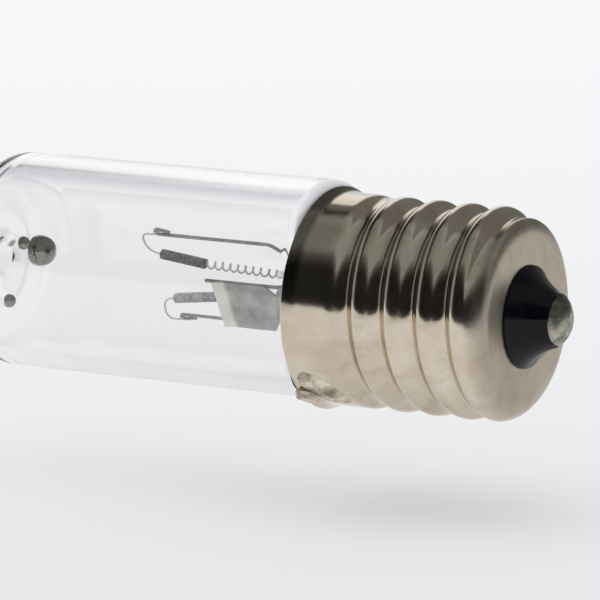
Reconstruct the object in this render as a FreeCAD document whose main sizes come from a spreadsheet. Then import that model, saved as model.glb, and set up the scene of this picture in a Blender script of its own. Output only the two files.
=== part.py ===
import FreeCAD, Part
import math
import os
from types import SimpleNamespace

import Sketcher
from FreeCAD import Placement, Rotation, Vector

# Small clear germicidal lamp with an E17 screw cap, in millimetres.
# The cap's axis is X. X is 0 at the cap's open rim and grows towards the end contact. Z is up.
# The glass and all that it holds sit a little above the cap's axis, as cemented.

X_DIRECTION = Vector(1, 0, 0)

# Driving dimensions

SHEET_ROWS = [
    ("shell_radius", 8.275, "crest radius of the screw thread, and of the plain collar"),
    ("shell_wall", 0.25, "sheet metal of the cap"),
    ("shell_end", 16.7, "rim to the flat outer face of the cap's end"),
    ("shell_hole", 4.0, "radius of the hole in the cap's end"),
    ("shoulder_round", 2.0, "outer rounding between the thread and the end face"),
    ("lip_length", 1.0, "length of the flared lip"),
    ("lip_flare", 0.415, "how far the lip stands outside the collar"),
    ("thread_pitch", 2.822, "nine turns to the inch"),
    ("thread_depth", 0.695, "crest to root"),
    ("valley_first", 4.95, "rim to the first valley, on the front"),
    ("thread_start", -0.45, "turn at which the first valley begins, counted from the front"),
    ("thread_finish", 4.1, "turn at which the last valley has faded"),
    ("thread_fade", 0.4, "turns over which the first valley deepens"),
    ("thread_run_out", 0.3, "turns over which the last valley fades"),
    ("glass_rise", 0.6, "glass axis above the cap's axis"),
    ("tube_overhang", 0.275, "how far the tube's radius is beyond the collar's"),
    ("glass_wall", 1.2, "wall of the tube"),
    ("tube_reach", 31.0, "rim to the outer face of the tube's end"),
    ("end_corner", 2.6, "outer rounding of the tube's end"),
    ("tip_length", 3.5, "tip-off nub beyond the end face"),
    ("tip_round", 0.9, "rounding of the nub's point"),
    ("tip_root", 1.7, "radius of the nub at the end face"),
    ("tip_bore", 1.1, "radius of the hollow at the nub's root"),
    ("tip_bore_depth", 1.6, "depth of that hollow beyond the end face"),
    ("rim_gap", 0.09, "room between the glass and the lip, at the top"),
    ("shoulder_end", 0.25, "the tube's outer rounding ends this far outside the rim"),
    ("bore_set_back", 0.3, "the bore turns in this far before the outside does"),
    ("bore_corner", 0.6, "rounding of the bore there"),
    ("neck_start", 2.4, "rim to where the cone meets the straight neck"),
    ("neck_set_back", 0.5, "the bore's cone ends this far before that"),
    ("neck_gap", 0.53, "room between the neck and the thread's roots, at the top"),
    ("neck_wall", 1.0, "wall of the neck"),
    ("neck_end", 6.5, "rim to the neck's sealed end"),
    ("stem_radius", 3.3, "outer radius of the stem tube"),
    ("stem_wall", 0.7, "wall of the stem tube and of the flare's rim"),
    ("flare_start", 4.9, "rim to where the stem tube opens out"),
    ("press_top", 1.2, "the press stands this far outside the rim"),
    ("press_base", 3.6, "rim to the press's inner end"),
    ("press_width", 7.2, "press across the leads"),
    ("press_thick", 2.0, "press thickness"),
    ("press_round", 0.7, "rounding of the press's long edges"),
    ("press_overlap", 1.0, "the press's root runs this far into the stem tube"),
    ("mount_turn", 28.0, "turn of the electrode plane about the axis, in degrees"),
    ("mount_drop", 0.23, "middle of the electrodes below the glass axis"),
    ("lead_wire", 0.24, "diameter of the inner leads"),
    ("lead_offset", 3.98, "straight part of an inner lead from the electrodes' middle"),
    ("lead_tip", 14.85, "rim to the fold of a lead's tip"),
    ("lead_bend", 4.8, "rim to the bend towards the press"),
    ("lead_bend_round", 0.8, "rounding of the lead's bends"),
    ("press_lead_offset", 2.3, "leads from the electrodes' middle inside the press"),
    ("press_lead_bend", 0.9, "the lead straightens this far outside the press's top"),
    ("fold_length", 1.1, "length of the folded tip"),
    ("strand", 0.18, "diameter of the wound filament strand"),
    ("pinch_clearance", 0.02, "room on each side of the strand in the fold"),
    ("coil_radius", 0.29, "centre line of the open coil"),
    ("coil_pitch", 0.68, "spacing of its turns"),
    ("coil_turns", 12, "turns in the open coil"),
    ("coil_outer_x", 10.9, "rim to the outer end of the open coil"),
    ("coil_outer_offset", 1.58, "coil from the electrodes' middle there"),
    ("coil_inner_offset", 1.2, "coil from the electrodes' middle at its inner end"),
    ("coil_front", 0.15, "coils in front of the electrode plane"),
    ("coil_stub", 0.4, "last piece of strand along the axis, from the coil to the centre wire"),
    ("emitter_length", 4.15, "length of a coated winding"),
    ("emitter_lift", 0.62, "its outer end is this much farther from the middle than its inner end"),
    ("emitter_gap", 0.08, "room between a coated winding and the open coil's first turn"),
    ("emitter_radius", 0.38, "radius of a coated winding"),
    ("emitter_round", 0.12, "rounding of its ends"),
    ("cross_length", 0.75, "length of strand across the fold"),
    ("loop_reach", 1.35, "filament loop beyond the fold of the lead"),
    ("loop_round", 1.0, "rounding of the loop"),
    ("centre_wire_size", 0.3, "diameter of the centre wire"),
    ("centre_wire_front", 0.43, "centre wire in front of the electrode plane"),
    ("centre_wire_lift", 0.2, "centre wire above the electrodes' middle"),
    ("centre_wire_reach", 11.4, "rim to the centre wire's free end"),
    ("plate_reach", 9.8, "rim to the plate's bent edge"),
    ("plate_length", 6.2, "plate along the axis"),
    ("plate_width", 4.5, "plate across the axis"),
    ("plate_thick", 0.1, "sheet of the plate"),
    ("plate_cut_x", 2.35, "cut corner along the axis"),
    ("plate_cut_z", 2.4, "cut corner across the axis"),
    ("flange_x", 0.85, "bent edge, reach along the axis"),
    ("flange_y", 0.15, "bent edge, reach to the front"),
    ("bead_large", 1.3, "radius of the large mercury bead"),
    ("bead_small", 0.55, "radius of the small mercury beads"),
    ("bead_sink", 0.35, "share of a bead's radius by which the wall flattens it"),
    ("bead_room", 0.89, "room between the large bead and the rounding of the tube's end"),
    ("bead_gap", 0.3, "room between the large bead and the small one beside it"),
    ("bead_lift", 0.9, "that small bead above the axis"),
    ("bead_drop", 3.5, "lowest bead below the axis"),
    ("seal_wire_size", 0.3, "diameter of the wires sealed in the press"),
    ("seal_outer_x", 0.6, "rim to a seal wire's outer end"),
    ("seal_inner_x", 3.0, "rim to its inner end"),
    ("outer_lead_size", 0.26, "diameter of the outer leads"),
    ("outer_lead_round", 0.9, "rounding of the outer leads' bends"),
    ("rim_lead_angle", 232.5, "rim lead's place round the cap, in degrees from Y"),
    ("rim_lead_round", 0.4, "rounding of the rim lead's bends"),
    ("rim_lead_straight", 0.9, "the rim lead runs straight this far past the neck's end"),
    ("rim_lead_turn", 1.6, "it turns back this far past the cement's inner end"),
    ("rim_lead_room", 0.1, "room between the rim lead and the cement's or collar's surface"),
    ("lip_room", 0.06, "room between the rim lead and the inside of the lip"),
    ("contact_lead_straight", 2.0, "the contact lead runs straight this far before the insulator"),
    ("cement_start", 0.9, "rim to the cement's outer face"),
    ("cement_step", 2.6, "rim to where the cement leaves the collar"),
    ("cement_taper", 0.9, "length over which it narrows to clear the thread"),
    ("cement_end", 7.4, "rim to the cement's inner end"),
    ("cement_gap", 0.13, "room between the cement and the thread's roots"),
    ("seat_clearance", 0.02, "room round moulded and cemented pieces"),
    ("disc_gap", 0.875, "room between the insulator's disc and the cap's rounding"),
    ("insulator_depth", 2.25, "thickness of the insulator inside the cap"),
    ("insulator_foot", 0.17, "insulator stands straight out of the cap this far"),
    ("insulator_height", 2.55, "cap's end to the foot of the insulator's small rim"),
    ("insulator_rim", 0.2, "height of the rim round the contact"),
    ("insulator_rim_wall", 0.18, "wall of that rim"),
    ("insulator_curve", 6.0, "radius of the concave cone"),
    ("eyelet_radius", 1.95, "radius of the eyelet's flange"),
    ("eyelet_sheet", 0.3, "thickness of the flange"),
    ("eyelet_recess", 0.15, "flange's seat below the foot of the insulator's rim"),
    ("eyelet_tube", 1.03, "outer radius of the eyelet's tube"),
    ("eyelet_wall", 0.25, "wall of the tube"),
    ("eyelet_inset", 0.5, "the tube ends this far inside the insulator"),
    ("contact_edge", 0.15, "straight edge of the solder dome"),
    ("contact_dome", 0.81, "height of the dome above that edge"),
    ("contact_plug", 0.7, "solder inside the eyelet"),
    ("contact_lead_reach", 0.4, "contact lead's end beyond the eyelet's face, in the solder"),
    ("solder_x", 1.75, "rim to the middle of the side solder's long lump"),
    ("solder_angle", 228.5, "its place round the cap, in degrees from Y"),
    ("solder_length", 4.5, "its length"),
    ("solder_width", 2.7, "its width"),
    ("solder_height", 0.42, "its height above the collar"),
    ("solder_sink", 0.6, "its centre below the collar"),
    ("solder_skew", -40.0, "turn of the long lump on the cap, in degrees"),
    ("heel_x", 0.45, "rim to the middle of the solder's heel, over the lip"),
    ("heel_length", 2.1, "heel along the cap"),
    ("heel_width", 2.0, "heel round the cap"),
    ("heel_height", 0.42, "heel's half height"),
    ("heel_sink", 0.1, "heel's centre below the lip's radius"),
    ("lip_clearance", 0.16, "room between the rim lead and the outside of the lip"),
]


class Size:
    """A size worked out from the sheet: its expression and its value."""

    def __init__(self, text, value):
        self.text = text
        self.value = value

    @staticmethod
    def of(other):
        if isinstance(other, Size):
            return other
        return Size(str(other), float(other))

    def joined(self, sign, other, value):
        return Size("(" + self.text + " " + sign + " " + other.text + ")", value)

    def __add__(self, other):
        other = Size.of(other)
        return self.joined("+", other, self.value + other.value)

    def __sub__(self, other):
        other = Size.of(other)
        return self.joined("-", other, self.value - other.value)

    def __mul__(self, other):
        other = Size.of(other)
        return self.joined("*", other, self.value * other.value)

    def __truediv__(self, other):
        other = Size.of(other)
        return self.joined("/", other, self.value / other.value)

    def __neg__(self):
        return Size("(0 - " + self.text + ")", -self.value)


ZERO = Size("0", 0.0)

doc = FreeCAD.newDocument("germicidal_lamp")


def fill_sheet():
    """Put the driving dimensions in the sheet and return them as sizes."""
    sheet = doc.addObject("Spreadsheet::Sheet", "sizes")
    for row, (alias, value, meaning) in enumerate(SHEET_ROWS, start=1):
        sheet.set("A" + str(row), alias)
        sheet.set("B" + str(row), str(value))
        sheet.set("C" + str(row), meaning)
        sheet.setAlias("B" + str(row), alias)
    doc.recompute()
    named = {}
    for alias, _, _ in SHEET_ROWS:
        named[alias] = Size("sizes." + alias, float(sheet.get(alias)))
    return SimpleNamespace(**named)


d = fill_sheet()

# Sizes that several pieces share

collar_inside = d.shell_radius - d.shell_wall
lip_inside = collar_inside + d.lip_flare
root_inside = collar_inside - d.thread_depth
end_face_inside = d.shell_end - d.shell_wall
tube_radius = d.shell_radius + d.tube_overhang
tube_inside = tube_radius - d.glass_wall
end_wall_inside = d.glass_wall - d.tube_reach
rim_glass_radius = lip_inside - d.glass_rise - d.rim_gap
shoulder_arc = tube_radius - rim_glass_radius
shoulder_start_x = -d.shoulder_end - shoulder_arc
bore_end_x = shoulder_start_x - d.bore_set_back
neck_radius = root_inside - d.glass_rise - d.neck_gap
neck_inside = neck_radius - d.neck_wall
cement_radius = root_inside - d.cement_gap
fold_gap = d.lead_wire + d.strand + d.pinch_clearance * 2
pinch_offset = d.lead_offset + fold_gap / 2
coil_length = d.coil_pitch * d.coil_turns
coil_inner_x = coil_length - d.coil_outer_x
plate_back = d.centre_wire_front + d.centre_wire_size / 2
plate_top = d.centre_wire_lift + d.centre_wire_size / 2
bead_side = tube_radius - d.end_corner - d.bead_room - d.bead_large
disc_radius = d.shell_radius - d.shoulder_round - d.disc_gap
insulator_inner_x = end_face_inside - d.insulator_depth
insulator_top_x = d.shell_end + d.insulator_height
insulator_rim_radius = d.eyelet_radius + d.seat_clearance + d.insulator_rim_wall
eyelet_seat_x = insulator_top_x - d.eyelet_recess
dome_base_x = eyelet_seat_x + d.eyelet_sheet

glass_frame = Placement(Vector(0, 0, d.glass_rise.value), Rotation())
mount_turn = Placement(Vector(), Rotation(X_DIRECTION, d.mount_turn.value))
mount_drop = Placement(Vector(0, 0, -d.mount_drop.value), Rotation())
electrode_frame = glass_frame.multiply(mount_turn).multiply(mount_drop)
half_turn = Placement(Vector(), Rotation(X_DIRECTION, 180))
mirrored_electrode_frame = electrode_frame.multiply(half_turn)

# Drawing helpers


def new_body(label):
    body = doc.addObject("PartDesign::Body", label)
    body.Label = label
    return body


def new_sketch(body, name, role, offset=None):
    """A sketch on one of the body's own origin planes, moved along its normal by offset."""
    sketch = body.newObject("Sketcher::SketchObject", name)
    plane = [item for item in body.Origin.OriginFeatures if item.Role == role][0]
    sketch.AttachmentSupport = [(plane, "")]
    sketch.MapMode = "FlatFace"
    if offset is not None:
        sketch.AttachmentOffset = Placement(Vector(0, 0, offset.value), Rotation())
        sketch.setExpression("AttachmentOffset.Base.z", offset.text)
    return sketch


def set_datum(sketch, constraint, size):
    index = sketch.addConstraint(constraint)
    sketch.setExpression("Constraints[" + str(index) + "]", size.text)


def pin_point(sketch, geometry, point, x, y):
    """Hold one end of a line or arc at the place x, y."""
    if x is ZERO:
        sketch.addConstraint(Sketcher.Constraint("PointOnObject", geometry, point, -2))
    else:
        set_datum(sketch, Sketcher.Constraint("DistanceX", -1, 1, geometry, point, x.value), x)
    if y is ZERO:
        sketch.addConstraint(Sketcher.Constraint("PointOnObject", geometry, point, -1))
    else:
        set_datum(sketch, Sketcher.Constraint("DistanceY", -1, 1, geometry, point, y.value), y)


def arc_between(start, end, radius, turn):
    """The minor arc from start to end, turning left for turn 1 and right for turn -1."""
    chord = end - start
    middle = (start + end) * 0.5
    left = Vector(-chord.y, chord.x, 0).normalize()
    height = math.sqrt(max(radius ** 2 - (chord.Length / 2) ** 2, 0.0))
    centre = middle + left * (turn * height)
    first = math.atan2(start.y - centre.y, start.x - centre.x)
    last = math.atan2(end.y - centre.y, end.x - centre.x)
    circle = Part.Circle(centre, Vector(0, 0, 1), radius)
    if turn > 0:
        return Part.ArcOfCircle(circle, first, last)
    return Part.ArcOfCircle(circle, last, first)


def draw_outline(sketch, corners):
    """A closed outline. A corner is x, y, then for an arc that ends there its radius and turn."""
    ends = []
    places = [Vector(corner[0].value, corner[1].value, 0) for corner in corners]
    for index, corner in enumerate(corners):
        start = places[index - 1]
        end = places[index]
        if len(corner) == 2:
            geometry = sketch.addGeometry(Part.LineSegment(start, end))
            ends.append((geometry, 1, 2))
        else:
            radius, turn = corner[2], corner[3]
            geometry = sketch.addGeometry(arc_between(start, end, radius.value, turn))
            set_datum(sketch, Sketcher.Constraint("Radius", geometry, radius.value), radius)
            ends.append((geometry, 1, 2) if turn > 0 else (geometry, 2, 1))
    for index, (geometry, start_point, end_point) in enumerate(ends):
        following = ends[(index + 1) % len(ends)]
        joint = Sketcher.Constraint("Coincident", geometry, end_point, following[0], following[1])
        sketch.addConstraint(joint)
        pin_point(sketch, geometry, end_point, corners[index][0], corners[index][1])


def turned_body(label, corners, name=None):
    """A body turned about X from an outline of x and radius."""
    body = new_body(label)
    sketch = new_sketch(body, (name or label) + "_outline", "XZ_Plane")
    draw_outline(sketch, corners)
    turned = body.newObject("PartDesign::Revolution", label + "_turned")
    turned.Profile = sketch
    turned.ReferenceAxis = (sketch, ["H_Axis"])
    turned.Angle = 360
    doc.recompute()
    return body


def place(item, placement):
    item.Placement = placement


def rod(label, diameter, start, end, frame=Placement()):
    """A straight round wire along X in the given frame, from start to end."""
    item = doc.addObject("Part::Cylinder", label)
    item.Label = label
    item.setExpression("Radius", (diameter / 2).text)
    item.setExpression("Height", (end[0] - start[0]).text)
    along_x = Rotation(Vector(0, 1, 0), 90)
    foot = Vector(start[0].value, start[1].value, start[2].value)
    item.Placement = frame.multiply(Placement(foot, along_x))
    return item


def shape_feature(label, shape):
    item = doc.addObject("Part::Feature", label)
    item.Label = label
    item.Shape = shape
    return item


def cut_out(label, base, tools):
    """The base with the tools' solids taken out of it."""
    if len(tools) > 1:
        together = doc.addObject("Part::MultiFuse", label + "_room")
        together.Shapes = tools
    else:
        together = tools[0]
    item = doc.addObject("Part::Cut", label)
    item.Label = label
    item.Base = base
    item.Tool = together
    return item


# The share of a run that one bend's tangent length may take
BEND_SHARE = 0.48


def bent_path(points, radius):
    """Straight runs through the points, joined by tangent arcs of up to the given radius."""
    edges = []
    last = points[0]
    for index in range(1, len(points) - 1):
        corner = points[index]
        into = (points[index - 1] - corner).normalize()
        out = (points[index + 1] - corner).normalize()
        half = into.getAngle(out) / 2
        shorter = min((points[index - 1] - corner).Length, (points[index + 1] - corner).Length)
        used = min(radius, BEND_SHARE * shorter * math.tan(half))
        step = used / math.tan(half)
        middle = (into + out).normalize()
        first = corner + into * step
        second = corner + out * step
        top = corner + middle * (used / math.sin(half) - used)
        edges.append(Part.LineSegment(last, first).toShape())
        edges.append(Part.Arc(first, top, second).toShape())
        last = second
    edges.append(Part.LineSegment(last, points[-1]).toShape())
    return Part.Wire(edges)


def bent_wire(points, radius, diameter):
    """A round wire along a bent path."""
    path = bent_path(points, radius)
    start = points[0]
    section = Part.Wire(Part.makeCircle(diameter / 2, start, points[1] - start))
    return path.makePipeShell([section], True, False)


# Screw shell: a rolled sheet skin whose rows follow the cap's outline and whose
# columns go round it, with the valleys pressed in along a helix

SKIN_COLUMNS = 32
ROWS_PER_TURN = 8
LIP_ROWS = 5
ROUND_ROWS = 7
FACE_ROWS = 3
SKIN_DEGREE = 3
SEW_TOLERANCE = 0.001
FLAT_TOLERANCE = 0.01


def shell_outline():
    """Rows of the smooth outline: x, radius, outward normal, and length along it."""
    radius = d.shell_radius.value
    lip = d.lip_length.value
    rounding = d.shoulder_round.value
    shoulder_x = d.shell_end.value - rounding
    step = d.thread_pitch.value / ROWS_PER_TURN
    rows = []
    for index in range(LIP_ROWS):
        share = index / LIP_ROWS
        slope = -2 * d.lip_flare.value * (1 - share) / lip
        size = math.hypot(1, slope)
        x = lip * share
        rows.append((x, radius + d.lip_flare.value * (1 - share) ** 2, -slope / size, 1 / size, x))
    straight_steps = round((shoulder_x - lip) / step)
    for index in range(straight_steps):
        x = lip + (shoulder_x - lip) * index / straight_steps
        rows.append((x, radius, 0.0, 1.0, x))
    for index in range(ROUND_ROWS + 1):
        turn = math.pi / 2 * index / ROUND_ROWS
        x = shoulder_x + rounding * math.sin(turn)
        r = radius - rounding * (1 - math.cos(turn))
        rows.append((x, r, math.sin(turn), math.cos(turn), shoulder_x + rounding * turn))
    face_start = radius - rounding
    for index in range(1, FACE_ROWS + 1):
        r = face_start + (d.shell_hole.value - face_start) * index / FACE_ROWS
        rows.append((d.shell_end.value, r, 1.0, 0.0, d.shell_end.value + rounding + face_start - r))
    return rows


def smooth_share(value):
    """0 below 0, 1 above 1, and a smooth rise between."""
    value = min(max(value, 0.0), 1.0)
    return value * value * (3 - 2 * value)


def valley_depth(along, angle):
    """How far the thread is pressed in, at a length along the cap and an angle round it."""
    pitch = d.thread_pitch.value
    depth = d.thread_depth.value
    half_run = pitch / 4
    knuckle = (half_run ** 2 + (depth / 2) ** 2) / depth
    round_turns = (angle - math.pi) / (2 * math.pi)
    turns = (along - d.valley_first.value) / pitch
    nearest = round(turns - round_turns)
    away = abs(turns - round_turns - nearest) * pitch
    if away < half_run:
        pressed = depth - (knuckle - math.sqrt(knuckle ** 2 - away ** 2))
    else:
        pressed = knuckle - math.sqrt(knuckle ** 2 - (2 * half_run - away) ** 2)
    place_in_thread = nearest + round_turns
    rise = smooth_share((place_in_thread - d.thread_start.value) / d.thread_fade.value)
    fall = smooth_share((d.thread_finish.value - place_in_thread) / d.thread_run_out.value)
    return pressed * rise * fall


def sharpened(points):
    """Rows of poles whose cubic surface passes close by the given rows of points."""
    poles = list(points)
    for index in range(2, len(points) - 2):
        rows = zip(points[index - 1], points[index], points[index + 1])
        poles[index] = [here - (before - here * 2 + after) * (1 / 6) for before, here, after in rows]
    return poles


def shell_skin(inset):
    """One closed skin of the shell, set in from the outer one by inset."""
    step = 2 * math.pi / SKIN_COLUMNS
    # Poles of a round cubic curve lie a little outside the curve
    spread = 6 / (4 + 2 * math.cos(step))
    points = []
    for x, radius, along_normal, out_normal, along in shell_outline():
        row = []
        for column in range(SKIN_COLUMNS):
            angle = step * column
            sunk = valley_depth(along, angle) + inset
            r = (radius - out_normal * sunk) * spread
            row.append(Vector(x - along_normal * sunk, r * math.cos(angle), r * math.sin(angle)))
        points.append(row)
    poles = sharpened(points)
    count = len(poles)
    inner_knots = count - SKIN_DEGREE
    row_knots = list(range(inner_knots + 1))
    row_mults = [SKIN_DEGREE + 1] + [1] * (inner_knots - 1) + [SKIN_DEGREE + 1]
    column_knots = list(range(SKIN_COLUMNS + 1))
    column_mults = [1] * (SKIN_COLUMNS + 1)
    surface = Part.BSplineSurface()
    surface.buildFromPolesMultsKnots(
        poles, row_mults, column_mults, row_knots, column_knots, False, True, SKIN_DEGREE, SKIN_DEGREE
    )
    return surface.toShape()


def end_circles(face):
    """The face's two closed edges, the one at the rim first."""
    closed = [edge for edge in face.Edges if edge.isClosed() and edge.BoundBox.XLength < FLAT_TOLERANCE]
    return sorted(closed, key=lambda edge: edge.BoundBox.XMin)


def solid_of(faces):
    shell = Part.makeShell(faces)
    shell.sewShape(SEW_TOLERANCE)
    solid = Part.Solid(shell)
    if solid.Volume < 0:
        solid.reverse()
    return solid


def make_shell():
    outer = shell_skin(0.0)
    inner = shell_skin(d.shell_wall.value)
    rings = [Part.makeRuledSurface(a, b) for a, b in zip(end_circles(outer), end_circles(inner))]
    lids = [Part.Face(Part.Wire(edge)) for edge in end_circles(outer)]
    filled = solid_of([outer] + lids)
    return solid_of([outer, inner] + rings), filled


shell_shape, shell_filled = make_shell()
screw_shell = shape_feature("screw_shell", shell_shape)

# Glass tube: end wall with its tip-off nub, shoulder and neck

glass_tube = turned_body("glass_tube", [
    (-d.tube_reach - d.tip_length, ZERO),
    (d.tip_round - d.tube_reach - d.tip_length, d.tip_round, d.tip_round, -1),
    (-d.tube_reach, d.tip_root),
    (-d.tube_reach, tube_radius - d.end_corner),
    (d.end_corner - d.tube_reach, tube_radius, d.end_corner, -1),
    (shoulder_start_x, tube_radius),
    (-d.shoulder_end, rim_glass_radius, shoulder_arc, -1),
    (d.neck_start, neck_radius),
    (d.neck_end, neck_radius),
    (d.neck_end, neck_inside),
    (d.neck_start - d.neck_set_back, neck_inside),
    (bore_end_x + d.bore_corner, tube_inside - d.bore_corner),
    (bore_end_x, tube_inside, d.bore_corner, 1),
    (d.end_corner - d.tube_reach, tube_inside),
    (end_wall_inside, tube_radius - d.end_corner, d.end_corner - d.glass_wall, 1),
    (end_wall_inside, d.tip_bore),
    (-d.tube_reach - d.tip_bore_depth, ZERO),
])
place(glass_tube, glass_frame)

# Inner leads: tip folded back on itself, straight run, then in to the press


def make_lead(label, frame):
    body = new_body(label)
    path = new_sketch(body, label + "_path", "XZ_Plane")
    tip_x, bend_x = -d.lead_tip, -d.lead_bend
    fold_end_x = d.fold_length - d.lead_tip
    press_x = -(d.press_top + d.press_lead_bend)
    outer = d.lead_offset
    inner = d.press_lead_offset
    fold_z = outer + fold_gap
    rounding = d.lead_bend_round
    slant = Vector(press_x.value - bend_x.value, inner.value - outer.value, 0).normalize()
    first_bend = Vector(bend_x.value, outer.value, 0)
    last_bend = Vector(press_x.value, inner.value, 0)
    step = rounding.value * math.tan(math.atan2(-slant.y, slant.x) / 2)
    level = Vector(step, 0, 0)
    fold_end = Vector(fold_end_x.value, fold_z.value, 0)
    fold_start = Vector(tip_x.value, fold_z.value, 0)
    straight_start = Vector(tip_x.value, outer.value, 0)
    wire_end = Vector(d.seal_outer_x.value, inner.value, 0)
    fold_line = path.addGeometry(Part.LineSegment(fold_end, fold_start))
    fold_arc = path.addGeometry(arc_between(fold_start, straight_start, fold_gap.value / 2, 1))
    run = path.addGeometry(Part.LineSegment(straight_start, first_bend - level))
    bend_start, bend_end = first_bend - level, first_bend + slant * step
    bend = path.addGeometry(arc_between(bend_start, bend_end, rounding.value, -1))
    slope_start, slope_end = bend_end, last_bend - slant * step
    slope = path.addGeometry(Part.LineSegment(slope_start, slope_end))
    level_arc = path.addGeometry(arc_between(slope_end, last_bend + level, rounding.value, 1))
    tail = path.addGeometry(Part.LineSegment(last_bend + level, wire_end))
    guide = path.addGeometry(Part.LineSegment(first_bend, last_bend), True)
    for a, a_point, b, b_point in [
        (fold_line, 2, fold_arc, 1), (fold_arc, 2, run, 1), (run, 2, bend, 2),
        (bend, 1, slope, 1), (slope, 2, level_arc, 1), (level_arc, 2, tail, 1),
    ]:
        path.addConstraint(Sketcher.Constraint("Tangent", a, a_point, b, b_point))
    for line in (fold_line, run, tail):
        path.addConstraint(Sketcher.Constraint("Horizontal", line))
    set_datum(path, Sketcher.Constraint("Radius", fold_arc, fold_gap.value / 2), fold_gap / 2)
    set_datum(path, Sketcher.Constraint("Radius", bend, rounding.value), rounding)
    set_datum(path, Sketcher.Constraint("Radius", level_arc, rounding.value), rounding)
    set_datum(path, Sketcher.Constraint("DistanceX", -1, 1, fold_line, 1, fold_end.x), fold_end_x)
    pin_point(path, run, 1, tip_x, outer)
    pin_point(path, tail, 2, d.seal_outer_x, inner)
    pin_point(path, guide, 1, bend_x, outer)
    pin_point(path, guide, 2, press_x, inner)
    path.addConstraint(Sketcher.Constraint("PointOnObject", slope, 1, guide))
    path.addConstraint(Sketcher.Constraint("PointOnObject", slope, 2, guide))
    section = new_sketch(body, label + "_section", "YZ_Plane", fold_end_x)
    wire_radius = d.lead_wire / 2
    round_section = Part.Circle(Vector(0, fold_z.value, 0), Vector(0, 0, 1), wire_radius.value)
    circle = section.addGeometry(round_section)
    pin_point(section, circle, 3, ZERO, fold_z)
    set_datum(section, Sketcher.Constraint("Radius", circle, wire_radius.value), wire_radius)
    doc.recompute()
    pipe = body.newObject("PartDesign::AdditivePipe", label + "_pipe")
    pipe.Profile = section
    pipe.Spine = path
    doc.recompute()
    place(body, frame)
    return body


upper_lead = make_lead("upper_lead", electrode_frame)
lower_lead = make_lead("lower_lead", mirrored_electrode_frame)

# Wires sealed in the press, and the centre wire

centre_wire = rod(
    "centre_wire", d.centre_wire_size,
    (-d.centre_wire_reach, -d.centre_wire_front, d.centre_wire_lift), (d.seal_inner_x, ZERO, ZERO),
    electrode_frame,
)
upper_seal_wire = rod(
    "upper_seal_wire", d.seal_wire_size,
    (d.seal_outer_x, ZERO, d.press_lead_offset), (d.seal_inner_x, ZERO, ZERO), electrode_frame,
)
lower_seal_wire = rod(
    "lower_seal_wire", d.seal_wire_size,
    (d.seal_outer_x, ZERO, -d.press_lead_offset), (d.seal_inner_x, ZERO, ZERO), electrode_frame,
)

# Filaments: pinched end, loop, straight run through the coated winding, open coil,
# and a short end on the centre wire


def coil_axis(side):
    """Outer end and direction of a coil's axis in the electrode frame. Side is 1 or -1."""
    front = -d.coil_front.value
    outer = Vector(-d.coil_outer_x.value, front, side * d.coil_outer_offset.value)
    inner = Vector(coil_inner_x.value, front, side * d.coil_inner_offset.value)
    direction = (inner - outer).normalize()
    return outer, direction


def emitter_direction(side):
    """Direction of a coated winding's axis, towards the cap."""
    return Vector(d.emitter_length.value, 0, -side * d.emitter_lift.value).normalize()


def coil_rotation(side, direction):
    """Turns Z onto the coil's axis, and X onto the side away from the lamp's axis."""
    return Rotation(Vector(0, 0, side), Vector(), direction, "ZXY")


def make_filament(label, side):
    outer, direction = coil_axis(side)
    strand = d.strand.value
    length = coil_length.value
    pinch_z = side * pinch_offset.value
    half_cross = d.cross_length.value / 2
    pinch_back = Vector(-d.lead_tip.value, half_cross, pinch_z)
    pinch_front = Vector(-d.lead_tip.value, -half_cross, pinch_z)
    loop_x = -d.lead_tip.value - d.loop_reach.value
    loop_far = Vector(loop_x, -half_cross, pinch_z)
    towards_cap = emitter_direction(side)
    run = (outer.x - loop_x) / towards_cap.x
    loop_near = outer - towards_cap * run
    whole = bent_wire([pinch_back, pinch_front, loop_far, loop_near, outer], d.loop_round.value, strand)
    coil_turn = coil_rotation(side, direction)
    helix = Part.makeHelix(d.coil_pitch.value, length, d.coil_radius.value)
    start = Vector(d.coil_radius.value, 0, 0)
    climb = d.coil_pitch.value / (2 * math.pi)
    section = Part.Wire(Part.makeCircle(strand / 2, start, Vector(0, d.coil_radius.value, climb)))
    coil = Part.Wire(helix.Edges).makePipeShell([section], True, True)
    coil.Placement = Placement(outer, coil_turn)
    coil_start = outer + coil_turn.multVec(start)
    coil_end = coil_start + direction * length
    wire_lift = d.centre_wire_lift.value
    wire_point = Vector(coil_end.x + d.coil_stub.value, -d.centre_wire_front.value, wire_lift)
    pieces = [coil]
    for point in (outer, coil_start, coil_end):
        pieces.append(Part.makeSphere(strand / 2, point))
    for first, last in ((outer, coil_start), (coil_end, wire_point)):
        reach = last - first
        pieces.append(Part.makeCylinder(strand / 2, reach.Length, first, reach))
    for piece in pieces:
        whole = whole.fuse(piece)
    support = Part.makeCylinder(
        d.centre_wire_size.value / 2, d.centre_wire_reach.value,
        Vector(-d.centre_wire_reach.value, -d.centre_wire_front.value, wire_lift), X_DIRECTION,
    )
    whole = whole.cut(support)
    item = shape_feature(label, max(whole.Solids, key=lambda solid: solid.Volume))
    place(item, electrode_frame)
    return item


upper_filament = make_filament("upper_filament", 1)
lower_filament = make_filament("lower_filament", -1)

# Coated windings on the outer ends of the filaments


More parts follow.
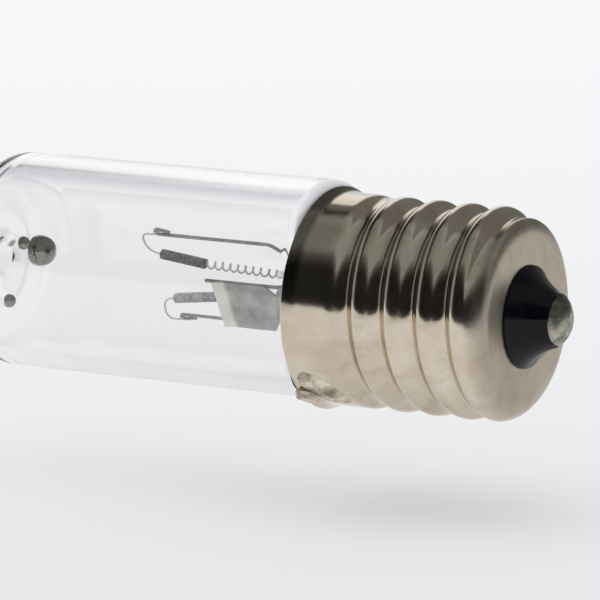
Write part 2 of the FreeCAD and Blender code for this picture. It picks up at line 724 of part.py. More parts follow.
def make_emitter(label, side):
    bore = d.strand / 2
    inner_end = -bore - d.emitter_gap
    body = turned_body(label, [
        (-d.emitter_length, bore),
        (-d.emitter_length, d.emitter_radius - d.emitter_round),
        (d.emitter_round - d.emitter_length, d.emitter_radius, d.emitter_round, -1),
        (inner_end - d.emitter_round, d.emitter_radius),
        (inner_end, d.emitter_radius - d.emitter_round, d.emitter_round, -1),
        (inner_end, bore),
    ])
    outer, _ = coil_axis(side)
    along_axis = Rotation(emitter_direction(side), Vector(), Vector(0, 0, side), "XZY")
    place(body, electrode_frame.multiply(Placement(outer, along_axis)))
    return body


upper_emitter = make_emitter("upper_emitter", 1)
lower_emitter = make_emitter("lower_emitter", -1)

# Shield plate: thin sheet with one bent edge and one cut corner, on the centre wire

shield_plate = new_body("shield_plate")
plate_front = plate_back + d.plate_thick
plate_inner_x = d.plate_length - d.plate_reach
sheet_outline = new_sketch(shield_plate, "shield_plate_outline", "XY_Plane", plate_top - d.plate_width)
draw_outline(sheet_outline, [
    (plate_inner_x, -plate_back),
    (-d.plate_reach, -plate_back),
    (-d.plate_reach - d.flange_x, -plate_back - d.flange_y),
    (-d.plate_reach - d.flange_x, -plate_front - d.flange_y),
    (-d.plate_reach, -plate_front),
    (plate_inner_x, -plate_front),
])
sheet_pad = shield_plate.newObject("PartDesign::Pad", "shield_plate_sheet")
sheet_pad.Profile = sheet_outline
sheet_pad.setExpression("Length", d.plate_width.text)
doc.recompute()
corner_outline = new_sketch(shield_plate, "shield_plate_corner", "XZ_Plane")
draw_outline(corner_outline, [
    (plate_inner_x - d.plate_cut_x, plate_top),
    (plate_inner_x + d.plate_cut_x, plate_top),
    (plate_inner_x + d.plate_cut_x, plate_top - d.plate_cut_z),
    (plate_inner_x, plate_top - d.plate_cut_z),
])
corner_cut = shield_plate.newObject("PartDesign::Pocket", "shield_plate_corner_cut")
corner_cut.Profile = corner_outline
corner_cut.Type = "ThroughAll"
corner_cut.Midplane = True
doc.recompute()
place(shield_plate, electrode_frame)

# Mercury beads: flattened where they cling to the end wall


def make_bead(name, radius, y, z):
    bead = doc.addObject("Part::Sphere", name)
    bead.setExpression("Radius", radius.text)
    sink = math.degrees(math.asin(d.bead_sink.value))
    bead.Angle1 = -sink
    away_from_wall = Rotation(Vector(0, 1, 0), 90)
    foot = Vector(end_wall_inside.value + radius.value * d.bead_sink.value, y, z + d.glass_rise.value)
    bead.Placement = Placement(foot, away_from_wall)
    return bead


small_side = bead_side.value - d.bead_large.value - d.bead_small.value - d.bead_gap.value
mercury_beads = doc.addObject("Part::Compound", "mercury_beads")
mercury_beads.Label = "mercury_beads"
mercury_beads.Links = [
    make_bead("bead_side", d.bead_large, bead_side.value, 0),
    make_bead("bead_low", d.bead_small, -d.bead_small.value, -d.bead_drop.value),
    make_bead("bead_high", d.bead_small, small_side, d.bead_lift.value),
]

# Outer leads


def in_lamp(x, y, z):
    """A point of the electrode frame, in the lamp's own frame."""
    return electrode_frame.multVec(Vector(x, y, z))


contact_lead = shape_feature("contact_lead", bent_wire(
    [
        in_lamp(d.seal_inner_x.value, 0, d.press_lead_offset.value),
        in_lamp(d.neck_end.value, 0, d.press_lead_offset.value),
        Vector(insulator_inner_x.value - d.contact_lead_straight.value, 0, 0),
        Vector(dome_base_x.value + d.contact_lead_reach.value, 0, 0),
    ],
    d.outer_lead_round.value, d.outer_lead_size.value,
))


def outward_at(degrees):
    """Direction away from the cap's axis, at an angle from Y."""
    turn = math.radians(degrees)
    return Vector(0, math.cos(turn), math.sin(turn))


def on_cap(x, radius):
    """A point beside the rim lead's line, at a radius from the cap's axis."""
    return X_DIRECTION * x + outward_at(d.rim_lead_angle.value) * radius


half_lead = d.outer_lead_size.value / 2
lip_radius = d.shell_radius.value + d.lip_flare.value
lead_ride = cement_radius.value - half_lead - d.rim_lead_room.value
collar_ride = collar_inside.value - half_lead - d.rim_lead_room.value
lip_ride = lip_inside.value - half_lead - d.lip_room.value
lip_normal = math.hypot(1, 2 * d.lip_flare.value / d.lip_length.value)
lip_front = -d.shell_wall.value * 2 * d.lip_flare.value / d.lip_length.value / lip_normal
over_lip = lip_front - half_lead - d.lip_clearance.value
rim_lead = shape_feature("rim_lead", bent_wire(
    [
        in_lamp(d.seal_inner_x.value, 0, -d.press_lead_offset.value),
        in_lamp(d.neck_end.value + d.rim_lead_straight.value, 0, -d.press_lead_offset.value),
        on_cap(d.cement_end.value + d.rim_lead_turn.value, lead_ride),
        on_cap(d.cement_step.value, lead_ride),
        on_cap(d.lip_length.value, collar_ride),
        on_cap(over_lip, lip_ride),
        on_cap(over_lip, lip_radius + half_lead + d.lip_clearance.value),
        on_cap(d.lip_length.value, d.shell_radius.value + half_lead + d.lip_clearance.value),
    ],
    d.rim_lead_round.value, d.outer_lead_size.value,
))

# Glass stem: flare sealed in the neck, stem tube and flat press, with room for its wires

stem_flare = turned_body("stem_flare", [
    (d.press_base - d.press_overlap, d.stem_radius),
    (d.flare_start, d.stem_radius),
    (d.neck_end - d.stem_wall, neck_inside),
    (d.neck_end, neck_inside),
    (d.neck_end, neck_inside - d.stem_wall),
    (d.flare_start, d.stem_radius - d.stem_wall),
    (d.press_base, d.stem_radius - d.stem_wall),
    (d.press_base, ZERO),
    (d.press_base - d.press_overlap, ZERO),
])
place(stem_flare, glass_frame)
stem_press = doc.addObject("Part::Box", "stem_press")
stem_press.setExpression("Length", (d.press_base + d.press_top).text)
stem_press.setExpression("Width", d.press_thick.text)
stem_press.setExpression("Height", d.press_width.text)
press_corner = Vector(-d.press_top.value, -d.press_thick.value / 2, -d.press_width.value / 2)
stem_press.Placement = electrode_frame.multiply(Placement(press_corner, Rotation()))
doc.recompute()
rounded_press = doc.addObject("Part::Fillet", "rounded_press")
rounded_press.Base = stem_press
long_edges = [
    index for index, edge in enumerate(stem_press.Shape.Edges, start=1)
    if edge.BoundBox.XLength > d.press_base.value
]
rounded_press.Edges = [(index, d.press_round.value, d.press_round.value) for index in long_edges]
stem_blank = doc.addObject("Part::Fuse", "stem_blank")
stem_blank.Base = stem_flare
stem_blank.Tool = rounded_press
glass_stem = cut_out("glass_stem", stem_blank, [
    upper_lead, lower_lead, centre_wire, upper_seal_wire, lower_seal_wire, contact_lead, rim_lead,
])

# Capping cement between the neck and the shell

cement_ring = turned_body("cement_ring", [
    (d.cement_start, neck_inside),
    (d.cement_start, collar_inside - d.seat_clearance),
    (d.cement_step, collar_inside - d.seat_clearance),
    (d.cement_step + d.cement_taper, cement_radius),
    (d.cement_end, cement_radius),
    (d.cement_end, neck_inside),
])
neck_plug = turned_body("neck_plug", [
    (-d.shoulder_end, ZERO),
    (-d.shoulder_end, rim_glass_radius),
    (d.neck_start, neck_radius),
    (d.cement_end + d.cement_taper, neck_radius),
    (d.cement_end + d.cement_taper, ZERO),
])
place(neck_plug, glass_frame)
capping_cement = cut_out("capping_cement", cement_ring, [neck_plug, rim_lead])

# End contact: moulded insulator, eyelet and solder dome

neck_of_insulator = d.shell_hole - d.seat_clearance
contact_insulator = turned_body("contact_insulator", [
    (insulator_inner_x, d.eyelet_tube + d.seat_clearance),
    (insulator_inner_x, disc_radius),
    (end_face_inside, disc_radius),
    (end_face_inside, neck_of_insulator),
    (d.shell_end + d.insulator_foot, neck_of_insulator),
    (insulator_top_x, insulator_rim_radius, d.insulator_curve, 1),
    (insulator_top_x + d.insulator_rim, insulator_rim_radius),
    (insulator_top_x + d.insulator_rim, d.eyelet_radius + d.seat_clearance),
    (eyelet_seat_x, d.eyelet_radius + d.seat_clearance),
    (eyelet_seat_x, d.eyelet_tube + d.seat_clearance),
])

contact_eyelet = turned_body("contact_eyelet", [
    (insulator_inner_x + d.eyelet_inset, d.eyelet_tube - d.eyelet_wall),
    (insulator_inner_x + d.eyelet_inset, d.eyelet_tube),
    (eyelet_seat_x, d.eyelet_tube),
    (eyelet_seat_x, d.eyelet_radius),
    (dome_base_x, d.eyelet_radius),
    (dome_base_x, d.eyelet_tube - d.eyelet_wall),
])

dome_round = (d.eyelet_radius * d.eyelet_radius + d.contact_dome * d.contact_dome) / (d.contact_dome * 2)
solder_blank = turned_body("solder_blank", [
    (dome_base_x - d.contact_plug, ZERO),
    (dome_base_x - d.contact_plug, d.eyelet_tube - d.eyelet_wall),
    (dome_base_x, d.eyelet_tube - d.eyelet_wall),
    (dome_base_x, d.eyelet_radius),
    (dome_base_x + d.contact_edge, d.eyelet_radius),
    (dome_base_x + d.contact_edge + d.contact_dome, ZERO, dome_round, -1),
])
contact_solder = cut_out("contact_solder", solder_blank, [contact_lead])

# Side solder: a long lump run askew along the collar, and a heel that wraps the lip and the lead


def solder_lump(radii, x, radius, degrees, skew):
    """An ellipsoid on the cap, its middle at x, a radius and an angle."""
    stretch = FreeCAD.Matrix()
    stretch.scale(*radii)
    lump = Part.makeSphere(1.0).transformGeometry(stretch)
    outward = outward_at(degrees)
    onto_cap = Rotation(X_DIRECTION, Vector(), outward, "ZXY")
    askew = Rotation(Vector(0, 0, 1), skew)
    lump.Placement = Placement(X_DIRECTION * x + outward * radius, onto_cap.multiply(askew))
    return lump


def make_rim_solder():
    sink = d.solder_sink.value
    deep = d.solder_height.value + sink
    foot_share = math.sqrt(1 - (sink / deep) ** 2)
    long_radii = (d.solder_length.value / 2 / foot_share, d.solder_width.value / 2 / foot_share, deep)
    heel_radii = (d.heel_length.value / 2, d.heel_width.value / 2, d.heel_height.value)
    long_lump = solder_lump(
        long_radii, d.solder_x.value, d.shell_radius.value - sink, d.solder_angle.value, d.solder_skew.value,
    )
    heel = solder_lump(
        heel_radii, d.heel_x.value, lip_radius - d.heel_sink.value, d.rim_lead_angle.value, 0,
    )
    blob = long_lump.fuse(heel).cut(shell_filled).cut(rim_lead.Shape).cut(shell_shape)
    return max(blob.Solids, key=lambda item: item.Volume)


rim_solder = shape_feature("rim_solder", make_rim_solder())

# Check every object, then write each sub-part

NODES = [
    screw_shell, contact_insulator, contact_eyelet, contact_solder, rim_solder, capping_cement,
    glass_tube, glass_stem, upper_lead, lower_lead, centre_wire, shield_plate,
    upper_filament, lower_filament, upper_emitter, lower_emitter, mercury_beads,
    upper_seal_wire, lower_seal_wire, contact_lead, rim_lead,
]

doc.recompute()
for item in doc.Objects:
    if "Invalid" in item.State or "Error" in item.State:
        raise RuntimeError("object failed: " + item.Name)
os.makedirs("parts", exist_ok=True)
for node in NODES:
    shape = node.Shape
    if shape.isNull() or not shape.isValid() or shape.Volume <= 0:
        raise RuntimeError("bad shape: " + node.Label)
for node in NODES:
    node.Shape.exportStep("parts/" + node.Label + ".step")
    print(node.Label, len(node.Shape.Solids), round(node.Shape.Volume, 4))
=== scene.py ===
import math

import bpy
import numpy as np
from mathutils import Matrix, Vector


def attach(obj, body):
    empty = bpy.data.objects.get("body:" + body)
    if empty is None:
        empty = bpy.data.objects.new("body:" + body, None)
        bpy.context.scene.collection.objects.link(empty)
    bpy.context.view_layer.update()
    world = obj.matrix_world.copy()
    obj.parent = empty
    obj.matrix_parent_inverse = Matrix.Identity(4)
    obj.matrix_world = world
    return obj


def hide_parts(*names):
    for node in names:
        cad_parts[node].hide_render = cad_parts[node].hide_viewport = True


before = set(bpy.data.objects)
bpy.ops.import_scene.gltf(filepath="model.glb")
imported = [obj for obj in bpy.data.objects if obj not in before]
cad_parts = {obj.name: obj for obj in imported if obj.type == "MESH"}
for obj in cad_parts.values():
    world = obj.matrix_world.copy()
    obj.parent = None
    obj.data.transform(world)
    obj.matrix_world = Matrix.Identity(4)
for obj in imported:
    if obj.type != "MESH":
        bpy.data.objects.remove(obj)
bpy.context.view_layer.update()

# Small clear germicidal lamp with an E17 screw cap.
# Sizes are in millimetres, in the lamp's frame: X along the cap's axis, 0 at the cap's open rim, Z up.
# The glass and all that it holds sit GLASS_RISE above the cap's axis.

MM = 0.001
GLASS_RISE = 0.6

SHELL = dict(
    radius=8.275, wall=0.25, end=16.7, hole=4.0, shoulder=2.0, lip=1.0, flare=0.415,
    pitch=2.822, depth=0.695, first=4.95, start=-0.45, finish=4.1, fade=0.4, run_out=0.3,
)
TUBE = dict(
    radius=8.55, wall=1.2, end=-31.0, corner=2.6, tip=3.5, tip_round=0.9,
    shoulder=0.8, shoulder_end=-0.25, bore_end=-1.0, bore_corner=0.5,
    neck=6.2, neck_wall=1.0, neck_start=2.4, neck_end=6.5, neck_set_back=0.5,
)
# The front of the glass shoulder lies nearer the rim: by how much, round which angle, how fast that
# fades beside it, and between which X it grows
FRONT = dict(shift=0.5, angle=175.0, spread=1.6, start=-4.0, full=-1.5)
# The drawn tip's outside and inside: how far beyond the tube's end face, and the radius there
TIP_OUTSIDE = [(1.6, 1.0), (0.9, 1.15), (0.35, 1.45), (0.0, 2.1), (0.0, 4.0)]
TIP_INSIDE = [(-TUBE["wall"], 2.0), (-0.7, 1.2), (0.4, 0.75), (1.6, 0.0)]

INSULATOR = dict(
    inner_x=14.2, disc=5.4, bore=1.05, end_inside=16.45, foot=3.98, foot_x=16.87, hollow=6.0,
    top_x=19.25, rim=2.15, rim_end=19.44, rim_inside=1.97, seat_x=19.1,
    uneven_from=17.6, uneven_full=19.4,
)
# Points of that rim's rounded edge, from its outer corner
RIM_EDGE = [(-0.08, -0.03), (0.0, -0.10)]
# Waves round the insulator's rim: their height, how many, and where they begin in radians
RIM_WAVES = [(0.05, 3, 1.0), (0.03, 7, 2.0), (0.015, 13, 0.0)]
DOME = dict(radius=1.95, height=0.81, end=20.36, seat_x=19.4, plug=0.78, plug_x=18.7)

MOUNT = dict(turn=28.0, drop=0.23, wire=0.24, strand=0.18, wire_room=0.02)
LEAD = dict(
    tip=-14.85, fold=1.1, offset=3.98, bend=-4.8, inner=2.3, inner_bend=-2.1, end=0.6, round=0.8,
)
CENTRE = dict(wire=0.3, reach=-11.4, front=-0.43, lift=0.2, end=3.0)
COIL = dict(
    radius=0.29, pitch=0.68, turns=12, outer_x=-10.9, outer_z=1.58, inner_z=1.2, front=-0.15,
    cross=0.75, loop=1.35, loop_round=1.0, lead_in=0.1, stub=0.4,
)
EMITTER = dict(length=4.15, lift=0.62, radius=0.42, gap=0.17, round=0.12, swell=0.02, pitch=0.27)
# From the middle of a lead to that of its folded tip: a wire, the strand and the room beside it
FOLD = MOUNT["wire"] + MOUNT["strand"] + 2 * MOUNT["wire_room"]

# How fine the meshes are

SHELL_COLUMNS, QUICK_SHELL_COLUMNS = 300, 180
SHELL_OUTER_ROWS, SHELL_INNER_ROWS = 211, 61
TUBE_COLUMNS, INSULATOR_COLUMNS, DOME_COLUMNS = 200, 128, 96
COIL_STEPS = 28
EMITTER_ROWS, EMITTER_COLUMNS = 160, 40
WINDING_STEPS, FINE_WIRE_SIDES = 8.0, 6

# Mesh helpers


def share_between(value, start, end):
    """0 at start, 1 at end, straight between them and level outside."""
    return min(max((value - start) / (end - start), 0.0), 1.0)


def add_piece(name, points, faces, material):
    """A smooth-shaded piece from points in millimetres, in place of the CAD node of its name."""
    mesh = bpy.data.meshes.new(name)
    points = np.asarray(points, dtype=float) * MM
    mesh.from_pydata(points.tolist(), [], faces)
    mesh.update()
    return add_mesh(name, mesh, material)


def add_mesh(name, mesh, material, sharp=40.0):
    """A piece from a mesh. Edges that turn by more than sharp degrees stay crisp."""
    mesh.materials.clear()
    mesh.materials.append(material)
    mesh.polygons.foreach_set("use_smooth", [True] * len(mesh.polygons))
    mesh.set_sharp_from_angle(angle=math.radians(sharp))
    piece = bpy.data.objects.new(name + "_look", mesh)
    bpy.context.collection.objects.link(piece)
    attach(piece, "root")
    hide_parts(name)
    return piece


def arc(centre_x, centre_r, radius, first, last, steps):
    """Points (x, r) on an arc; angles in degrees from X towards r."""
    turns = np.radians(np.linspace(first, last, steps + 1))
    return [(centre_x + radius * math.cos(a), centre_r + radius * math.sin(a)) for a in turns]


def line(first, last, steps):
    """Points (x, r) at even steps on a straight line."""
    shares = [k / steps for k in range(steps + 1)]
    return [(first[0] + (last[0] - first[0]) * s, first[1] + (last[1] - first[1]) * s) for s in shares]


def concave(first, last, radius, steps):
    """Points of a shallow hollow curve between two points (x, r)."""
    a, b = Vector(first), Vector(last)
    chord = b - a
    left = Vector((-chord.y, chord.x)).normalized()
    centre = (a + b) / 2 + left * math.sqrt(radius ** 2 - (chord.length / 2) ** 2)
    start = math.degrees(math.atan2(a.y - centre.y, a.x - centre.x))
    end = math.degrees(math.atan2(b.y - centre.y, b.x - centre.x))
    return arc(centre.x, centre.y, radius, start, end, steps)


def lathe(outline, columns, rise=0.0, closed=True, wobble=None):
    """Points and faces of an outline turned about the axis. It runs towards +X on the outside.

    wobble(x, r, angle) gives a small change of the radius there."""
    points, rings = [], []
    for x, r in outline:
        if r == 0:
            rings.append([len(points)] * columns)
            points.append((x, 0.0, rise))
            continue
        rings.append(list(range(len(points), len(points) + columns)))
        for column in range(columns):
            angle = 2 * math.pi * column / columns
            here = r + (wobble(x, r, angle) if wobble else 0.0)
            points.append((x, here * math.cos(angle), here * math.sin(angle) + rise))
    pairs = list(zip(rings, rings[1:]))
    if closed:
        pairs.append((rings[-1], rings[0]))
    return points, ring_faces(pairs, columns)


def ring_faces(pairs, columns):
    """Faces between pairs of rings of point numbers. A ring on the axis repeats one point."""
    faces = []
    for a, b in pairs:
        if a[0] == a[1] and b[0] == b[1]:
            continue
        for j in range(columns):
            k = (j + 1) % columns
            face = [a[j], a[k], b[k], b[j]]
            faces.append([v for i, v in enumerate(face) if v != face[i - 1]])
    return faces


# The share of a run that one bend's tangent length may take
BEND_SHARE = 0.48


def bent_path(corners, radius, arc_steps=8):
    """Points along straight runs joined by tangent arcs."""
    corners = [Vector(c) for c in corners]
    path = [corners[0]]
    for before, corner, after in zip(corners, corners[1:], corners[2:]):
        into, out = (before - corner).normalized(), (after - corner).normalized()
        half = into.angle(out) / 2
        shorter = min((before - corner).length, (after - corner).length)
        used = min(radius, BEND_SHARE * shorter * math.tan(half))
        centre = corner + (into + out).normalized() * (used / math.sin(half))
        first = corner + into * (used / math.tan(half)) - centre
        last = corner + out * (used / math.tan(half)) - centre
        whole = first.angle(last)
        for k in range(arc_steps + 1):
            share = k / arc_steps
            spoke = first * math.sin((1 - share) * whole) + last * math.sin(share * whole)
            path.append(centre + spoke / math.sin(whole))
    path.append(corners[-1])
    return path


def rod_faces(rings, sides):
    """Faces round a rod made of rings of points, with both ends closed."""
    faces = []
    for i in range(rings - 1):
        for k in range(sides):
            n = (k + 1) % sides
            faces.append([i * sides + k, i * sides + n, (i + 1) * sides + n, (i + 1) * sides + k])
    faces.append(list(range(sides))[::-1])
    faces.append([(rings - 1) * sides + k for k in range(sides)])
    return faces


def round_wire(path, radius, sides=16):
    """Points and faces of a round wire along a path, closed at both ends."""
    path = [Vector(p) for p in path]
    last = len(path) - 1
    side = (path[1] - path[0]).orthogonal().normalized()
    points = []
    for i, centre in enumerate(path):
        tangent = (path[min(i + 1, last)] - path[max(i - 1, 0)]).normalized()
        side = (side - tangent * side.dot(tangent)).normalized()
        other = tangent.cross(side)
        for k in range(sides):
            angle = 2 * math.pi * k / sides
            points.append(centre + (side * math.cos(angle) + other * math.sin(angle)) * radius)
    return points, rod_faces(len(path), sides)


def in_lamp(x, y, z):
    """A point of the turned electrode plane, in the lamp's frame."""
    c, s = math.cos(math.radians(MOUNT["turn"])), math.sin(math.radians(MOUNT["turn"]))
    z -= MOUNT["drop"]
    return Vector((x, y * c - z * s, y * s + z * c + GLASS_RISE))


# Node trees


def grey(value):
    return (value, value, value, 1.0)


class Nodes:
    """A short way to build a node tree."""

    def __init__(self, tree):
        self.tree = tree

    def add(self, kind, inputs=None, **settings):
        node = self.tree.nodes.new(kind)
        for key, value in settings.items():
            setattr(node, key, value)
        for key, value in (inputs or {}).items():
            self.feed(node.inputs[key], value)
        return node

    def feed(self, socket, value):
        """Links an output to the socket, or sets the socket's own value."""
        if hasattr(value, "is_output"):
            self.tree.links.new(value, socket)
        else:
            socket.default_value = value

    def find(self, kind):
        return next(node for node in self.tree.nodes if node.type == kind)

    def show(self, shader):
        """Makes the material's output take this shader."""
        self.feed(self.find("OUTPUT_MATERIAL").inputs["Surface"], shader)

    def math(self, operation, a, b=0.0, clamp=False):
        return self.add("ShaderNodeMath", {0: a, 1: b}, operation=operation, use_clamp=clamp).outputs[0]

    def times(self, a, b):
        return self.math("MULTIPLY", a, b)

    def mix(self, share, a, b, blend="MIX"):
        node = self.add("ShaderNodeMix", data_type="RGBA", blend_type=blend)
        for key, value in ((0, share), (6, a), (7, b)):
            self.feed(node.inputs[key], value)
        return node.outputs[2]

    def mix_shaders(self, share, first, second):
        inputs = {0: share, 1: first.outputs[0], 2: second.outputs[0]}
        return self.add("ShaderNodeMixShader", inputs)

    def rise(self, value, span):
        """0 up to the span's first value, 1 past its second, straight between them."""
        start, end = span
        return self.math("DIVIDE", self.math("SUBTRACT", value, start), end - start, clamp=True)

    def rise_mm(self, value, span):
        """The same for a place in metres and a span in millimetres."""
        return self.rise(value, (span[0] * MM, span[1] * MM))

    def ramp(self, value, stops):
        """A colour ramp. A stop is its position, then a colour or the value of a grey."""
        node = self.add("ShaderNodeValToRGB", {0: value})
        elements = node.color_ramp.elements
        while len(elements) < len(stops):
            elements.new(0.5)
        for element, (position, colour) in zip(elements, stops):
            element.position = position
            element.color = colour if isinstance(colour, tuple) else grey(colour)
        return node.outputs[0]

    def noise(self, place, scale, detail, rough):
        inputs = {"Vector": place, "Scale": scale, "Detail": detail, "Roughness": rough}
        return self.add("ShaderNodeTexNoise", inputs).outputs[0]

    def axes(self):
        """The object's own X, Y and Z in metres."""
        coordinates = self.add("ShaderNodeTexCoord").outputs["Object"]
        return self.add("ShaderNodeSeparateXYZ", {0: coordinates}).outputs

    def place(self, scale=(1.0, 1.0, 1.0)):
        """The place on the object, stretched for a pattern."""
        coordinates = self.add("ShaderNodeTexCoord").outputs["Object"]
        return self.add("ShaderNodeMapping", {"Vector": coordinates, "Scale": scale}).outputs[0]

    def bump(self, height, strength, distance):
        inputs = {"Height": height, "Strength": strength, "Distance": distance}
        return self.add("ShaderNodeBump", inputs).outputs[0]

    def facing(self):
        """0 where the surface faces the eye, 1 where it is seen edge-on."""
        return self.add("ShaderNodeLayerWeight", {"Blend": 0.5}).outputs["Facing"]


# Streaks are stretched this way, along X, and this much of each mark goes into the height
STREAK_STRETCH = (0.12, 1.0, 1.0)
CLOUD_HEIGHT, SPECK_HEIGHT, STREAK_HEIGHT = 0.5, 0.3, 0.2


def marks_group():
    """Shared surface marks: slow clouds, thin drawing streaks along X and fine specks."""
    tree = bpy.data.node_groups.new("surface_marks", "ShaderNodeTree")
    tree.interface.new_socket("Vector", in_out="INPUT", socket_type="NodeSocketVector")
    for name, value in (("Cloud Scale", 200.0), ("Streak Scale", 900.0), ("Speck Scale", 2500.0)):
        socket = tree.interface.new_socket(name, in_out="INPUT", socket_type="NodeSocketFloat")
        socket.default_value = value
    for name in ("Cloud", "Streak", "Speck", "Height"):
        tree.interface.new_socket(name, in_out="OUTPUT", socket_type="NodeSocketFloat")
    n = Nodes(tree)
    given = n.add("NodeGroupInput").outputs
    cloud = n.noise(given["Vector"], given["Cloud Scale"], detail=5.0, rough=0.6)
    stretch = {"Vector": given["Vector"], "Scale": STREAK_STRETCH}
    stretched = n.add("ShaderNodeMapping", stretch).outputs[0]
    streak = n.noise(stretched, given["Streak Scale"], detail=3.0, rough=0.5)
    speck = n.noise(given["Vector"], given["Speck Scale"], detail=3.0, rough=0.6)
    height = n.math("ADD", n.times(cloud, CLOUD_HEIGHT), n.times(speck, SPECK_HEIGHT))
    height = n.math("ADD", height, n.times(streak, STREAK_HEIGHT))
    outputs = {"Cloud": cloud, "Streak": streak, "Speck": speck, "Height": height}
    n.add("NodeGroupOutput", outputs)
    return tree


MARKS = marks_group()


def marks(n, cloud, streak, speck):
    """The shared marks at these scales, per metre."""
    inputs = {"Vector": n.place(), "Cloud Scale": cloud, "Streak Scale": streak, "Speck Scale": speck}
    return n.add("ShaderNodeGroup", inputs, node_tree=MARKS).outputs


def new_material(name, **shader_inputs):
    """A material with a Principled shader. Returns it with its node helper and shader."""
    material = bpy.data.materials.new(name)
    material.use_nodes = True
    material.node_tree.nodes.clear()
    n = Nodes(material.node_tree)
    shader = n.add("ShaderNodeBsdfPrincipled", shader_inputs)
    n.add("ShaderNodeOutputMaterial", {"Surface": shader.outputs[0]})
    return material, n, shader


# Finishes. A span gives where a change begins and where it is whole, along an axis in millimetres.


def surface(name, light, dark, cloud=1500.0, streak=900.0, speck=4000.0, metallic=1.0,
            smooth=0.25, rough=0.45, bump=0.2, depth=0.00005):
    """A metal or matt surface whose tone and shine drift between two limits, with fine marks."""
    material, n, shader = new_material(name, Metallic=metallic)
    mark = marks(n, cloud, streak, speck)
    tone = n.ramp(mark["Cloud"], [(0.35, dark), (0.65, light)])
    specks = n.ramp(mark["Speck"], [(0.5, 0.0), (0.8, 0.4)])
    n.feed(shader.inputs["Base Color"], n.mix(specks, tone, dark))
    n.feed(shader.inputs["Roughness"], n.ramp(mark["Cloud"], [(0.3, rough), (0.7, smooth)]))
    n.feed(shader.inputs["Normal"], n.bump(mark["Height"], bump, depth))
    return material


NICKEL_WARM, NICKEL_PALE = (0.62, 0.52, 0.40, 1), (0.79, 0.72, 0.60, 1)
NICKEL_WORN = (0.50, 0.40, 0.28, 1)
NICKEL_LIP_PAINTED_SHADE, NICKEL_LIMB_PAINTED_SHADE = (0.05, 0.045, 0.04, 1), (0.06, 0.055, 0.045, 1)
# The end is rougher and darkened by painted shade: its span in X, the painted shade's share, and its
# roughness
DULL_AND_SHADED_END_SPAN, END_PAINTED_SHADE_SHARE, DULL_END_ROUGH = (15.4, 16.6), 0.34, 0.38
# Painted shade on the top of the lip: its span in X, its span in height, and its share
LIP_SPAN, LIP_TOP_SPAN, LIP_PAINTED_SHADE_SHARE = (1.1, 0.6), (0.0, 3.0), 0.7
# Painted shade on the top of the limb, by how far the surface faces away
LIMB_FACING, LIMB_TOP_SPAN, LIMB_PAINTED_SHADE_SHARE = (0.78, 0.87), (3.0, 5.0), 0.8


def nickel_material():
    """Thin nickel plate over brass: drawing streaks, clouds and warm worn spots.

    The end is rougher and has painted shade, and the top of the lip and of the limb is darkened by painted
    shade."""
    material, n, shader = new_material("nickel_plate", Metallic=1.0)
    mark = marks(n, cloud=170.0, streak=900.0, speck=2600.0)
    x, _, z = n.axes()
    tone = n.ramp(mark["Cloud"], [(0.3, NICKEL_WARM), (0.7, NICKEL_PALE)])
    worn = n.ramp(mark["Streak"], [(0.5, 0.0), (0.75, 0.4)])
    tone = n.mix(worn, tone, NICKEL_WORN)
    end = n.rise_mm(x, DULL_AND_SHADED_END_SPAN)
    # Painted shade darkens the end face
    tone = n.mix(n.times(end, END_PAINTED_SHADE_SHARE), tone, grey(0.0))
    # Painted shade darkens the top of the lip
    lip = n.times(n.rise_mm(x, LIP_SPAN), n.rise_mm(z, LIP_TOP_SPAN))
    tone = n.mix(n.times(lip, LIP_PAINTED_SHADE_SHARE), tone, NICKEL_LIP_PAINTED_SHADE)
    # Painted shade darkens the top of the limb, where it turns from the eye
    painted_limb_shade = n.times(n.rise(n.facing(), LIMB_FACING), n.rise_mm(z, LIMB_TOP_SPAN))
    tone = n.mix(n.times(painted_limb_shade, LIMB_PAINTED_SHADE_SHARE), tone, NICKEL_LIMB_PAINTED_SHADE)
    n.feed(shader.inputs["Base Color"], tone)
    rough = n.ramp(mark["Cloud"], [(0.25, 0.08), (0.75, 0.16)])
    n.feed(shader.inputs["Roughness"], n.mix(end, rough, grey(DULL_END_ROUGH)))
    n.feed(shader.inputs["Normal"], n.bump(mark["Height"], strength=0.2, distance=0.00006))
    return material


# The lavender band in the wall, the glass's own tint with painted shade that keeps it to the upper half, by
# how far the glass faces away, by radius and by height
BAND_TINT_AND_SHADE_TONE, BAND_SHARE = (0.60, 0.60, 0.68, 1), 0.8
BAND_BEGINS, BAND_ENDS = (0.36, 0.47), (0.62, 0.50)
BAND_RADIUS_SPAN, BAND_TOP_SPAN = (8.1, 8.2), (1.0, 5.0)
# Painted light: a pale diffuse patch on the top of the glass next to the cap's rim
PAINTED_RIM_LIGHT_TONE = (0.74, 0.74, 0.76, 1)
PAINTED_RIM_LIGHT_SPAN, PAINTED_RIM_LIGHT_TOP_SPAN = (-1.15, -0.95), (5.5, 7.5)
GLASS_SHADE = (0.93, 0.93, 0.94, 1)
RIPPLE_SCALE = (70.0, 260.0, 260.0)


